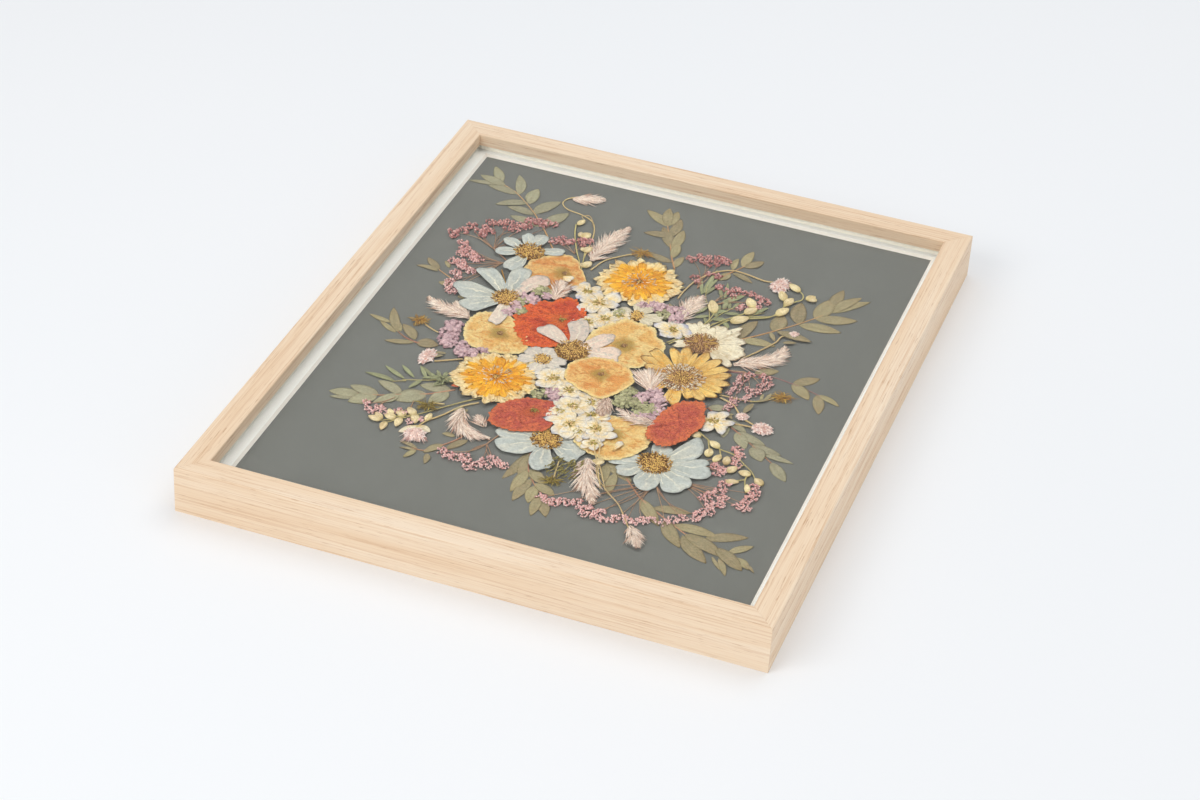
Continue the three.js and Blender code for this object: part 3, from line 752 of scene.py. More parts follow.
# In each papery finish the sixth colour is painted shade for the creases and wrinkle hollows.
YELLOW_SHEET = washed_finish(
    "Yellow papery petal", (234, 208, 143), (228, 182, 109), (214, 148, 78), (238, 220, 160),
    (160, 134, 66), (188, 132, 68), 70, 0.34,
)
ORANGE_SHEET = washed_finish(
    "Orange papery petal", (230, 190, 121), (222, 156, 87), (206, 128, 66), (238, 216, 152),
    (166, 140, 70), (182, 122, 62), 70, 0.35,
)
RED_SHEET = washed_finish(
    "Red papery petal", (222, 120, 80), (196, 96, 76), (152, 70, 60), (218, 122, 74), (190, 98, 58),
    (122, 48, 38), 120, 0.8,
)
BRIGHT_RED_SHEET = washed_finish(
    "Bright red papery petal", (228, 104, 56), (204, 78, 52), (152, 52, 38), (226, 108, 52),
    (200, 100, 50), (124, 40, 30), 60, 0.8,
)
# The dark colour of a celosia bristle serves both as painted shade for low bristles and as the beige of the
# tips.
CELOSIA = grain_finish("Celosia bristle", (247, 229, 212), (198, 160, 138), (255, 251, 242), 0.2)
TASSEL = grain_finish("Tassel hair", (230, 204, 186), (170, 132, 108), (242, 228, 214), 0.2)
# The dark colour of a rice bud is painted shade for low buds and the darkening of an aged spray. The
# near-white tip is partly the bud's own paler tip and partly a painted highlight.
RICE = grain_finish("Rice flower bud", (220, 156, 149), (154, 94, 88), (255, 230, 225), 0.3)
RICE_STALK = grain_finish("Rice flower stalk", (178, 142, 114), (136, 100, 80), (186, 150, 124), 0.25)
GLOBE = grain_finish("Globe bract", (244, 214, 202), (210, 160, 146), (255, 247, 241), 0.3)
BUD = petal_finish(
    "Cream bud", (208, 188, 132), (236, 219, 176), (228, 206, 158), (186, 156, 104), 0.6, 5, spread=0.2,
)
GREEN_STEM = grain_finish("Green stem", (192, 178, 122), (140, 128, 84), (196, 182, 126), 0.3)
GOLD_STEM = grain_finish("Golden stem", (216, 190, 138), (156, 126, 80), (216, 192, 142), 0.25)
FERN = petal_finish(
    "Fern leaf", (148, 149, 112), (161, 163, 126), (156, 158, 119), (124, 128, 94), 0.5, 4, spread=0.25,
)
MOSS = petal_finish(
    "Moss leaf", (132, 120, 66), (146, 134, 80), (132, 124, 72), (100, 92, 50), 0.5, 4, spread=0.3,
)
MOSS_BRISTLE = grain_finish("Olive bristle", (158, 138, 70), (104, 86, 44), (184, 164, 90), 0.35)
# On a ball the pale colour lies on its top and the tip colour on its underside. These balls are painted
# lighter on top and darker underneath, as painted highlight and painted shade.
STATICE = grain_finish("Statice ball", (214, 184, 186), (152, 114, 122), (194, 158, 162), 0.34)
GREEN_CUP = grain_finish("Green calyx", (186, 182, 142), (112, 112, 72), (164, 160, 116), 0.3)
STAR = petal_finish(
    "Larkspur petal", (230, 180, 84), (238, 210, 152), (222, 216, 206), (238, 232, 216), 0.6, 5,
    (198, 184, 164), 0.07, 0.4, warm=(164, 172, 214), spread=0.16, veins=4, vein=(240, 234, 216),
    vein_depth=0.5,
)
DRIED = grain_finish("Brown bract", (194, 152, 80), (134, 94, 50), (222, 188, 106), 0.4)


# ---------------------------------------------------------------- kinds of specimen


def floret_disc(specimen, centre, radius_x, radius_y, dome, count, pale, specks):
    """The granular middle of a flower. Grain i of count lies at the square root of i/count
    of the radius and i golden angles round, on a dome that falls with the square of the
    radius. specks is the share of dark grains in the outer ring, and there are few inside."""
    x, y = centre
    along, across = grid(7, 33)
    turn = across * 2 * math.pi
    edge = 1 + 0.035 * np.cos(9 * turn) + 0.03 * np.cos(14 * turn)
    out = along * edge
    dish = [x + radius_x * out * np.cos(turn), y + radius_y * out * np.sin(turn), dome * (1 - along**2) + 0.1]
    shade = {0: [0.1], 2: 0.75 + 0 * along}
    specimen.sheet(np.stack(dish, -1)[None], pale, shade, thickness=0.3, wrap=True)
    random = specimen.random
    number = np.arange(count) + 0.5
    out = np.sqrt(number / count) * random.uniform(0.97, 1.05, count)
    angle = number * GOLDEN_ANGLE + random.normal(0, 0.06, count)
    flat = np.asarray(centre) + ways(angle) * out[:, None] * [radius_x, radius_y]
    height = dome * (1 - out**2) + random.uniform(0.1, 0.45, count)
    ring = np.exp(-(((out - 0.84) / 0.14) ** 2))
    is_dark = random.uniform(0, 1, count) < specks * (0.15 + ring)
    dark = np.where(is_dark, random.uniform(0.7, 1, count), 0.0)
    radii = 0.7 * random.uniform(0.65, 1.1, count) * (1 - 0.2 * (dark > 0))
    specimen.beads(raised(flat, height), radii, pale, {2: dark})


def hairs(
    specimen, centre, inner, outer, length, count, finish, radius=0.34, height=1.2, lean=0.15, dark=0.8
):
    """Short threads that point away from centre: thread i starts at a random radius between
    inner and outer, and runs out for a random share of length."""
    random = specimen.random
    way = raised(ways(random.uniform(0, TURN, count)), np.full(count, lean))
    away = np.sqrt(random.uniform(inner**2, outer**2, count))
    flat = np.asarray(centre) + way[:, :2] * away[:, None]
    root = raised(flat, height + random.uniform(0, 0.4, count))
    run = length * random.uniform(0.4, 1, count)
    paths = root[:, None] + way[:, None] * (run[:, None] * np.linspace(0, 1, 3))[..., None]
    radii = radius * random.uniform(0.7, 1.2, count)[:, None]
    specimen.tubes(paths, radii, finish, {2: random.uniform(0, dark, count)}, sides=4)


def leaves(specimen, table, finish, thickness=0.12, rows=13, columns=7):
    """Leaves from base to tip, each with its width: two halves that meet in a low rib, a
    little arched and bowed."""
    table = np.asarray(table, float)
    count = len(table)
    random = specimen.random
    made = blades(
        table[:, :2], table[:, 2:4], table[:, 4] * 0.98, leaf_width, rows=rows, columns=columns,
        bow=random.uniform(-0.05, 0.05, count), arch=random.uniform(0.15, 0.55, count),
        curl=random.uniform(-0.15, 0.25, count),
    )
    along, across = grid(rows, columns)
    made[..., 2] += 0.2 + 0.16 * np.exp(-(((across - 0.5) / 0.09) ** 2)) * (1 - along)
    made[..., 2] += np.arange(count)[:, None, None] * 0.02
    specimen.sheet(made, finish, thickness=thickness)


def tufts(specimen, feet, tips, finish):
    """Many tiny leaves of one width."""
    leaves(specimen, np.column_stack([feet, tips, np.full(len(tips), 1.3)]), finish, 0.1, 7, 3)


def stems(specimen, lines, radius, finish, taper=1.0):
    """A stem along each line."""
    for line in lines:
        specimen.stem(line, radius, finish, taper=taper)


def eye_grains(specimen, eye, spread, count, height, finish, dark):
    """Grains scattered round the eye of a flower."""
    random = specimen.random
    spots = np.asarray(eye) + random.normal(0, spread, (count, 2))
    spots = raised(spots, np.full(count, height))
    radii = random.uniform(0.3, 0.6, count)
    specimen.beads(spots, radii, finish, {2: random.uniform(0, dark, count)})


def cosmos(name, layer, seed, centre, radius, petals, warm=None):
    """A cosmos: broad petals with a notched end under a granular disc. Each petal is the line
    round its edge from one side of its foot to the other, and warm is how far a petal takes
    the colour of the flower under it."""
    specimen = Specimen(layer, seed)
    radius_x, radius_y = radius
    for number, outline in enumerate(petals):
        outline = np.asarray(outline, float)
        middle = outline.mean(axis=0)
        root = np.asarray(centre) + (middle - centre) / np.linalg.norm(middle - centre) * radius_x * 0.35
        made = fan(root, outline, 11, 37, 5 + number % 3, 1.7 * number + seed)
        height = 0.16 * uneven(specimen.random, made[..., 0], made[..., 1], 9.0)
        made[..., 2] += 0.2 + 0.07 * (number % 3) + height
        specimen.sheet(made, COSMOS, {1: [(warm or {}).get(number, 0.0)]})
    floret_disc(specimen, centre, radius_x, radius_y, 0.55, int(radius_x * 22), GOLD_FLORET, 0.6)
    inner, outer = radius_x * 0.75, radius_x * 0.95
    hairs(specimen, centre, inner, outer, 2.4, 60, GOLD_FLORET, 0.4, height=0.5, lean=0.4)
    specimen.stand_in(name, "white_petal")


def petal_outline(centre, tip, width):
    """A plain petal's edge, from its foot round its blunt end and back. Each step is a share
    of the way to the tip and of half the width."""
    centre, tip = np.asarray(centre, float), np.asarray(tip, float)
    run = tip - centre
    across = to_left(run) / np.linalg.norm(run) * width / 2
    steps = [(0.2, 0.35), (0.55, 0.92), (0.82, 1), (0.97, 0.55)]
    one_side = [centre + run * share - across * wide for share, wide in steps]
    other_side = [centre + run * share + across * wide for share, wide in steps[::-1]]
    return [*one_side, tip, *other_side]


def orange_zinnia(name, layer, seed, centre):
    """A zinnia: rings of notched petals from the rim to a small speckled middle. Each ring
    is its finish, how many petals, their reach and their width."""
    specimen = Specimen(layer, seed)
    random = specimen.random
    centre = np.array(centre, float)
    rings = [
        (CREAM_ORANGE_PETAL, 26, 36.5, 11), (CREAM_ORANGE_PETAL, 26, 34, 11),
        (CREAM_ORANGE_PETAL, 27, 31, 10),
        (ORANGE_PETAL, 27, 28.5, 9), (ORANGE_PETAL, 24, 24, 7.5), (ORANGE_PETAL, 20, 19.5, 6.5),
        (ORANGE_PETAL, 16, 15, 5.5), (ORANGE_PETAL, 12, 10.5, 4),
    ]
    for level, (finish, count, reach, width) in enumerate(rings):
        angle = (np.arange(count) + random.uniform(-0.3, 0.3, count)) / count * 2 * math.pi + level * 0.9
        length = reach * random.uniform(0.87, 1.04, count)
        way = ways(angle)
        made = blades(
            centre + way * reach * 0.25, centre + way * length[:, None],
            width * random.uniform(0.75, 1.15, count), petal_width, rows=8, columns=7, teeth=0.1,
            bow=random.uniform(-0.06, 0.06, count), arch=0.2, curl=random.uniform(-0.6, -0.1, count),
        )
        made[..., 2] += 0.5 + 0.13 * level + 0.08 * (np.arange(count) % 3)[:, None, None]
        specimen.sheet(made, finish)
    floret_disc(specimen, centre, 6, 6, 0.3, 80, GOLD_FLORET, 0.5)
    hairs(specimen, centre, 2, 12, 2.6, 70, PALE_FLORET, height=1.5)
    specimen.stand_in(name, "orange_petal")


def open_flower(layer, seed, centre, disc, petals, finish, middle, dome, florets, ragged=0.05, warm=0.0):
    """An open flower whose petals are each a tip and a width, round a raised disc."""
    specimen = Specimen(layer, seed)
    centre = np.asarray(centre, float)
    for number, (x, y, width) in enumerate(petals):
        outline = petal_outline(centre, (x, y), width)
        root = centre + (np.array([x, y]) - centre) * 0.12
        made = fan(root, outline, 9, 25, 3 + number % 3, 2.1 * number + seed, ragged)
        height = 0.14 * uneven(specimen.random, made[..., 0], made[..., 1], 7.0)
        made[..., 2] += 0.22 + 0.08 * (number % 3) + height
        specimen.sheet(made, finish, {1: [warm]})
    floret_disc(specimen, centre, disc[0], disc[1], dome, florets, middle, 0.45)
    return specimen


def papery(layer, seed, outline, eye, finish, folds=0.35, wrinkle=0.12, frill=0.03, eyed=True):
    """A round flower of one papery sheet: a point lies at its share of the way from the eye
    to the smooth outline, which small waves frill. Broad folds, fine wrinkles and creases
    lift it, where a crease runs wherever a smooth uneven height passes through nought."""
    specimen = Specimen(layer, seed)
    random = specimen.random
    columns = 151
    edge = closed_curve(outline, columns)
    turn = np.linspace(0, TURN, columns)
    waves = sum(
        random.uniform(0.3, 1) * np.cos(n * turn + random.uniform(0, 6)) for n in (9, 14, 21, 33, 47, 61)
    ) / 2.5
    eye = np.asarray(eye, float)
    edge = eye + (edge - eye) * (1 + frill * waves)[:, None]
    along, across = grid(28, columns)
    flat = eye + (edge - eye)[None] * along[..., None]
    x, y = flat[..., 0], flat[..., 1]
    fine = 0.7 * uneven(random, x, y, 3.0, 11) + 0.5 * uneven(random, x, y, 1.7, 11)
    crease = np.exp(-((uneven(random, x, y, 17.0) / 0.09) ** 2))
    crease = crease * np.clip(0.4 + uneven(random, x, y, 11.0), 0, 1)
    ray = np.cos(5 * turn + 2.5 * np.sin(2 * turn) + random.uniform(0, 6))[None]
    crease = np.maximum(crease, 0.6 * np.exp(-((ray / 0.12) ** 2)) * along * (1 - along) * 2)
    height = folds * uneven(random, x, y, 13.0) * along + wrinkle * fine + frill * 7 * waves[None] * along**4
    # Painted shade: the third shade darkens the creases and the hollows of the fine wrinkles, where shade
    # falls.
    dark = np.clip(crease + 0.5 * np.clip(-fine, 0, 1) * wrinkle * 4, 0, 1)
    reach = along if eyed else 0.45 + 0.55 * along
    made = raised(flat, height + 0.4 - 0.3 * crease)
    specimen.sheet(made[None], finish, {1: reach[None], 2: dark[None]}, wrap=True)
    return specimen


def plume(specimen, spine, width, count, finish):
    """A feathery head: bristles leave a curved spine from foot to tip, sideways by their
    share of the width and forwards as they near the tip, and lie over each other in a low
    mound. A wide head has a core."""
    random = specimen.random
    line = curve(spine, 80)
    share = random.uniform(0, 1, count) ** 0.85
    place = share * 79 * 0.9
    low = np.floor(place).astype(int)
    ahead = line[low + 1] - line[low]
    root = line[low] + ahead * (place - low)[:, None]
    ahead /= np.linalg.norm(ahead, axis=1, keepdims=True)
    across = to_left(ahead)
    side = random.uniform(-1, 1, count)
    swell = (0.6 + 0.45 * np.sin(math.pi * share**0.8)) * (1 - 0.7 * share**3)
    half = width / 2 * swell
    root = root + across * (side * half * 0.3)[:, None]
    out = side * (1.0 - 0.45 * share) + random.normal(0, 0.07, count)
    way = ahead * np.cos(out)[:, None] + across * np.sin(out)[:, None]
    length = half * random.uniform(0.7, 1.3, count) * (0.8 + 0.3 * np.abs(side))
    flat = root[:, None] + way[:, None] * (length[:, None] * np.array([0, 0.5, 1.0]))[..., None]
    flat += ahead[:, None] * (length[:, None] * np.array([0, 0.04, 0.22]))[..., None]
    rise = 0.35 + 1.5 * (1 - 0.8 * side**2) * random.uniform(0.1, 1.0, count)
    height = rise[:, None] * np.array([0.8, 1.0, 0.7])
    thick = min(1.0, width / 17) ** 1.5
    radii = np.array([0.52, 0.46, 0.06])[None] * random.uniform(0.7, 1.25, count)[:, None] * thick
    # Painted shade: the lower a bristle lies in the mound, the darker it is painted. A random tone and the
    # beige of the tips come on top of that.
    low = 1 - (rise - rise.min()) / np.ptp(rise)
    dark = 0.7 * low * random.uniform(0.3, 1.3, count) + random.uniform(-0.4, 0.45, count) + 0.3 * share**6
    specimen.tubes(raised(flat, height), radii, finish, {2: np.clip(dark, 0, 1)}, sides=4)
    if width < 16:
        return
    core = raised(line[:72:6], np.full(12, 0.3))
    thick = width * 0.17 * np.sin(math.pi * np.linspace(0.12, 0.9, 12)) ** 0.5
    specimen.tubes(core, thick, finish, {2: [0.3]}, sides=8, flat=0.14)


def bud_clusters(specimen, clusters, away, age):
    """Clusters of rice-shaped buds: in each cluster of radius r the buds are spread by the
    square root of a random share, and point away from where their stalks meet."""
    clusters = np.asarray(clusters, float)
    random = specimen.random
    counts = np.maximum((27 * (clusters[:, 2] / 5.5) ** 1.6).astype(int), 5)
    spot = np.repeat(clusters, counts, axis=0)
    total = len(spot)
    out = np.sqrt(random.uniform(0, 1, total)) * spot[:, 2] * 0.8
    root = spot[:, :2] + out[:, None] * ways(random.uniform(0, TURN, total))
    heading = np.arctan2(*(root - np.asarray(away, float)).T[::-1]) + random.normal(0, 0.5, total)
    length = random.uniform(1.3, 2.1, total)
    steps = np.array([-0.5, -0.15, 0.25, 0.5])
    flat = root[:, None] + ways(heading)[:, None] * (length[:, None] * steps)[..., None]
    rise = 0.6 + random.uniform(0, 1.3, total) * (1 - (out / spot[:, 2]) ** 2)
    height = rise[:, None] + np.array([-0.15, 0, 0.15, 0.1])
    radii = np.array([0.3, 0.58, 0.74, 0.4]) * random.uniform(0.75, 1.15, total)[:, None]
    # Painted shade: the lower a bud lies in its cluster, the darker it is painted. age darkens the whole
    # spray, and each bud's tone also differs at random.
    dark = np.clip(1.1 + age - rise + random.uniform(-0.35, 0.35, total), 0, 1)
    specimen.tubes(raised(flat, height), radii, RICE, {2: dark * 0.8}, sides=5)


def stalks(specimen, fork, ends):
    """Thin stalks from a fork to each end. Near the fork a stalk keeps to the mean way of its
    set of three, and each is bent to one side by a share of its length."""
    fork = np.asarray(fork, float)
    ends = np.asarray(ends, float)[:, :2]
    count = len(ends)
    run = ends - fork
    near = np.clip(np.arange(count)[:, None] // 3 * 3 + np.arange(3), 0, count - 1)
    shared = run[near].mean(axis=1)
    steps = np.linspace(0, 1, 9)
    bend = specimen.random.uniform(-0.08, 0.08, count)[:, None] * np.sin(math.pi * steps)
    turned = steps[None, :, None] ** 1.5
    flat = fork + (run[:, None] * turned + shared[:, None] * (1 - turned)) * steps[None, :, None]
    flat += to_left(run)[:, None] * bend[..., None]
    height = np.broadcast_to(0.25 + 0.25 * np.sin(math.pi * steps), (count, 9))
    specimen.tubes(raised(flat, height), 0.25 * np.linspace(1.25, 0.75, 9), RICE_STALK, sides=5)


def rice_spray(layer, seed, root, age, groups):
    """A spray of rice flowers: groups of a fork and its clusters, joined to a root. age
    makes all its buds darker."""
    specimen = Specimen(layer, seed)
    for fork, clusters in groups:
        stalks(specimen, fork, clusters[::2])
        bud_clusters(specimen, clusters, fork, age)
        if root is not None:
            specimen.stem([root, fork], 0.55, RICE_STALK)
    return specimen


def sprig(name, layer, seed, stem_line, table):
    """A leafy sprig: leaves over one curved stem. Three of them have dried grey."""
    specimen = Specimen(layer, seed)
    leaves(specimen, table, GREY_LEAF if name in GREY_SPRIGS else LEAF)
    stem_finish = LEAF_STEM
    if "sprig_right" in name:
        stem_finish = PURPLE_STEM
    elif "upper" in name or "top" in name:
        stem_finish = TAN_STEM
    specimen.stem(stem_line, 0.75, stem_finish, height=0.16, taper=0.6)
    return specimen


def star(specimen, centre, radius, tipped):
    """A star flower: two whorls of broad ragged pointed sepals and one of small petals round
    a greenish middle. The second shade rises with the fourth power of the way to their tips,
    which dry blue."""
    random = specimen.random
    centre = np.asarray(centre, float)
    along, _ = grid(8, 7)
    for level, (petals, reach, width) in enumerate([(6, 1.12, 0.68), (5, 0.86, 0.52), (5, 0.5, 0.26)]):
        angle = (np.arange(petals) + 0.5 * level + random.uniform(-0.3, 0.3, petals)) / petals * 2 * math.pi
        way = ways(angle)
        reach = radius * reach * random.uniform(0.75, 1.12, petals)
        made = blades(
            centre + way * radius * 0.04, centre + way * reach[:, None],
            radius * width * random.uniform(0.75, 1.15, petals), star_width, rows=8, columns=7, teeth=0.1,
            bow=random.uniform(-0.12, 0.12, petals), arch=0.35, curl=random.uniform(-0.6, 0.3, petals),
        )
        made[..., 2] += 0.35 + 0.28 * level + 0.1 * (np.arange(petals) % 2)[:, None, None]
        blue = (0.8 - 0.3 * level) * tipped * random.uniform(0, 1, petals)[:, None, None] * along[None] ** 4
        specimen.sheet(made, STAR, {1: np.clip(blue, 0, 1)})
    hairs(specimen, centre, 0, radius * 0.24, 1.8, 36, GREEN_FLORET, 0.3, height=1.1, dark=0.6)


def balls(specimen, groups, finish):
    """Crinkled balls heaped over round groups: they are spread by the square root of a random
    share of the radius, and grow smaller from the middle of a group to its rim."""
    groups = np.asarray(groups, float)
    random = specimen.random
    counts = np.maximum((46 * (groups[:, 2] / 7) ** 1.9).astype(int), 3)
    spot = np.repeat(groups, counts, axis=0)
    total = len(spot)
    share = np.sqrt(random.uniform(0, 1, total))
    way = ways(random.uniform(0, TURN, total))
    flat = spot[:, :2] + (share * spot[:, 2] * 0.9)[:, None] * way
    size = random.uniform(1.1, 2.2, total) * (1.15 - 0.4 * share)
    height = random.uniform(0.4, 2.4, total) * (1.1 - 0.6 * share)
    # Painted shade: the lower a ball lies in the heap, the darker it is painted, with a random tone on top.
    dark = np.clip(0.6 - 0.35 * height + random.uniform(-0.4, 0.4, total), 0, 1)
    specimen.beads(raised(flat, height), size, finish, {2: dark}, columns=8, tall=0.6)


def buds(specimen, table):
    """Pressed buds, each from foot to tip with its width: rings that swell by a sine and are
    flattened, with a seam of dark ribs."""
    table = np.asarray(table, float)
    steps = np.linspace(0, 1, 9)
    run = table[:, 2:4] - table[:, :2]
    flat = table[:, None, :2] + run[:, None] * steps[None, :, None]
    height = np.broadcast_to(0.55, flat.shape[:2])
    radii = table[:, 4][:, None] / 2 * np.sin(math.pi * (0.06 + 0.9 * steps) ** 0.85) ** 0.7
    specimen.tubes(raised(flat, height), radii, BUD, sides=12, flat=0.4, ribs=0.14)


def globe(specimen, centre, width, height):
    """A globe flower pressed flat: rows of short pointed bracts that overlap outwards from
    its middle, over a low core."""
    random = specimen.random
    centre = np.asarray(centre, float)
    bracts = 130
    number = np.arange(bracts) + 0.5
    out = np.sqrt(number / bracts)
    way = ways(number * GOLDEN_ANGLE)
    size = np.array([width, height]) / 2
    root = centre + way * (out[:, None] * 0.72) * size
    tip = centre + way * (out[:, None] * 0.72 + random.uniform(0.2, 0.6, (bracts, 1))) * size
    widths = np.full(bracts, 0.15 * size.mean() + 0.4)
    made = blades(root, tip, widths, lance_width, rows=5, columns=3, arch=0.25)
    made[..., 2] += (0.45 + 1.0 * (1 - out**2) + random.uniform(0, 0.25, bracts))[:, None, None]
    specimen.sheet(made[::-1], GLOBE, {2: random.uniform(0, 1, bracts) ** 2}, thickness=0.1)
    along, across = grid(6, 25)
    turn = across * 2 * math.pi
    x = centre[0] + 0.8 * size[0] * along * np.cos(turn)
    y = centre[1] + 0.8 * size[1] * along * np.sin(turn)
    core = np.stack([x, y, 0.3 + 0.9 * (1 - along**2)], -1)
    specimen.sheet(core[None], GLOBE, {2: 0.4 + 0 * along}, wrap=True)


def spiky(specimen, centre, width, height, finish):
    """A dried head: narrow bracts that start near its middle and point outwards, over a
    core of grains."""
    random = specimen.random
    centre = np.asarray(centre, float)
    count, grains = 40, 24
    way = ways(random.uniform(0, TURN, count)) * np.array([width, height]) / 2
    made = blades(
        centre + way * 0.15, centre + way * random.uniform(0.5, 1.25, count)[:, None],
        random.uniform(0.4, 0.9, count), lance_width, rows=6, columns=3, arch=0.5,
        bow=random.uniform(-0.2, 0.2, count),
    )
    made[..., 2] += random.uniform(0.2, 1.0, count)[:, None, None]
    specimen.sheet(made, finish, {2: random.uniform(0, 0.8, count)}, thickness=0.1)
    out = np.sqrt(random.uniform(0, 1, grains)) * 0.4
    spots = centre + ways(random.uniform(0, TURN, grains)) * out[:, None] * [width, height] / 2
    spots = raised(spots, np.full(grains, 0.9))
    specimen.beads(spots, 0.55, finish, {2: random.uniform(0, 1, grains)})


# ---------------------------------------------------------------- leafy sprigs

GREY_SPRIGS = ("leaf_sprig_top_left", "leaf_sprig_lower_left", "leaf_sprig_lower_right")
SPRIGS = {
    "leaf_sprig_top_left": (
        [(-61, 100), (-88, 132), (-101, 151), (-121, 176), (-144, 198), (-158, 206)],
        [
            (-162, 206, -176, 231, 9), (-157, 205, -182, 213, 10), (-160, 206, -188, 201, 6),
            (-142, 197, -153, 226, 9), (-144, 197, -170, 200, 9), (-129, 187, -131, 212, 11),
            (-130, 188, -154, 175, 9), (-120, 173, -144, 176, 9), (-121, 174, -107, 201, 12),
            (-107, 160, -95, 187, 12), (-108, 159, -137, 164, 10),
        ],
    ),
    "leaf_sprig_top": (
        [(9, 144), (2, 158), (-3, 170), (-17, 203)],
        [
            (-16, 202, -40, 219, 10), (-16, 202, -24, 229, 9), (-17, 202, -16, 227, 9),
            (-10, 186, -10, 217, 9), (-3, 172, -20, 200, 10), (-2, 170, -3, 202, 9),
            (-8, 190, -31, 185, 9), (2, 158, -1, 182, 8), (4, 152, -17, 158, 8), (8, 146, 10, 164, 7),
        ],
    ),
    "leaf_sprig_upper_right": (
        [(82, 66), (97, 82), (110, 97), (122, 112), (139, 136)],
        [
            (139, 135, 139, 171, 11), (139, 135, 155, 166, 10), (139, 135, 163, 163, 9),
            (130, 122, 135, 155, 14), (130, 122, 161, 133, 12), (121, 109, 114, 140, 13),
            (121, 109, 154, 112, 12), (106, 92, 105, 118, 13), (84, 69, 91, 101, 11),
            (85, 70, 114, 73, 10),
        ],
    ),
    "leaf_sprig_right": (
        [(90, 26), (120, 33), (140, 31), (161, 25), (166, 20)],
        [
            (110, 31, 126, 43, 10), (140, 31, 157, 46, 10), (140, 31, 157, 16, 11), (161, 25, 180, 17, 6),
            (161, 25, 169, 1, 9),
        ],
    ),
    "leaf_sprig_lower_right": (
        [(92, -24), (122, -45), (138, -57), (156, -71)],
        [
            (92, -24, 107, -20, 8), (106, -33, 128, -43, 8), (110, -37, 114, -55, 8),
            (121, -44, 145, -52, 9), (121, -45, 133, -62, 10), (135, -55, 159, -59, 9),
            (137, -57, 148, -72, 12), (145, -62, 170, -65, 6), (155, -70, 171, -88, 10),
        ],
    ),
    "leaf_sprig_bottom_right": (
        [(67, -130), (84, -148), (99, -158), (126, -174), (160, -190)],
        [
            (47, -117, 72, -133, 10), (48, -120, 54, -141, 8), (58, -127, 62, -154, 8),
            (84, -148, 106, -173, 10), (95, -155, 122, -150, 9), (107, -163, 127, -190, 11),
            (113, -168, 148, -168, 10), (139, -174, 167, -160, 10), (124, -176, 149, -199, 12),
            (125, -174, 157, -188, 12), (150, -190, 161, -203, 3), (155, -190, 165, -207, 5),
            (159, -191, 173, -197, 4), (159, -182, 173, -168, 7), (165, -185, 178, -194, 7),
            (172, -189, 182, -196, 3), (149, -180, 174, -197, 11),
        ],
    ),
    "leaf_sprig_bottom": (
        [(-6, -128), (0, -148), (8, -160), (20, -174)],
        [
            (-6, -128, -13, -166, 9), (-5, -130, -2, -160, 9), (0, -148, -2, -178, 9),
            (6, -158, 3, -187, 9), (12, -164, 14, -185, 9), (19, -173, 21, -198, 8),
            (20, -173, 31, -195, 9), (1, -148, 17, -161, 10), (10, -162, 28, -170, 9),
        ],
    ),
    "leaf_sprig_lower_left": (
        [(-84, -79), (-100, -92), (-118, -101), (-134, -109), (-152, -114)],
        [
            (-86, -81, -110, -84, 12), (-88, -83, -95, -103, 12), (-101, -92, -120, -109, 17),
            (-117, -101, -140, -91, 10), (-118, -101, -132, -118, 10), (-132, -108, -156, -105, 11),
            (-133, -109, -149, -125, 14), (-147, -119, -164, -124, 5), (-145, -113, -167, -118, 11),
        ],
    ),
}
for number, (node, (stem_line, table)) in enumerate(SPRIGS.items()):
    sprig(node, 0, 11 + number, stem_line, table).stand_in(node, "leaf")

SMALL_SPRIGS = {
    "small_sprig_top": (
        [(44, 142), (46, 147), (52, 160), (58, 171)],
        [
            (51, 162, 50, 180, 6), (57, 169, 58, 195, 8.5), (58, 169, 70, 184, 9), (50, 157, 46, 143, 8),
            (52, 158, 71, 150, 6),
        ],
    ),
    "small_sprig_left": (
        [(-131, -34), (-136, -33.5), (-144, -31), (-152, -26)],
        [
            (-152, -27, -168, 3, 8), (-150, -25, -167, -7, 7), (-161, -17, -181, -13, 5),
            (-153, -28, -170, -18, 5), (-136, -31, -153, -15, 9), (-135, -34, -157, -41, 6),
            (-134, -34, -117, -31, 12),
        ],
    ),
    "small_sprig_upper_left": (
        [(-118, 44), (-130, 50), (-143, 58), (-157, 66)],
        [
            (-157, 66, -172, 79, 7), (-157, 64, -176, 65, 5), (-151, 72, -158, 80, 4),
            (-141, 50, -151, 50, 6), (-130, 38, -124, 36, 4),
        ],
    ),
    "small_sprig_bottom_left": (
        [(-56, -120), (-58, -133), (-66, -146), (-75, -157), (-85, -158)],
        [
            (-62, -133, -72, -133, 5), (-52, -133, -62, -150, 7), (-66, -145, -75, -160, 7),
            (-72, -160, -69, -172, 5), (-81, -157, -96, -154, 4), (-81, -159, -86, -171, 5),
            (-80, -160, -93, -161, 3),
        ],
    ),
}
for number, (name, (stem_line, table)) in enumerate(SMALL_SPRIGS.items()):
    sprig(name, 0.3, 41 + number, stem_line, table).lay(name, "leaf")


# ---------------------------------------------------------------- rice flower sprays

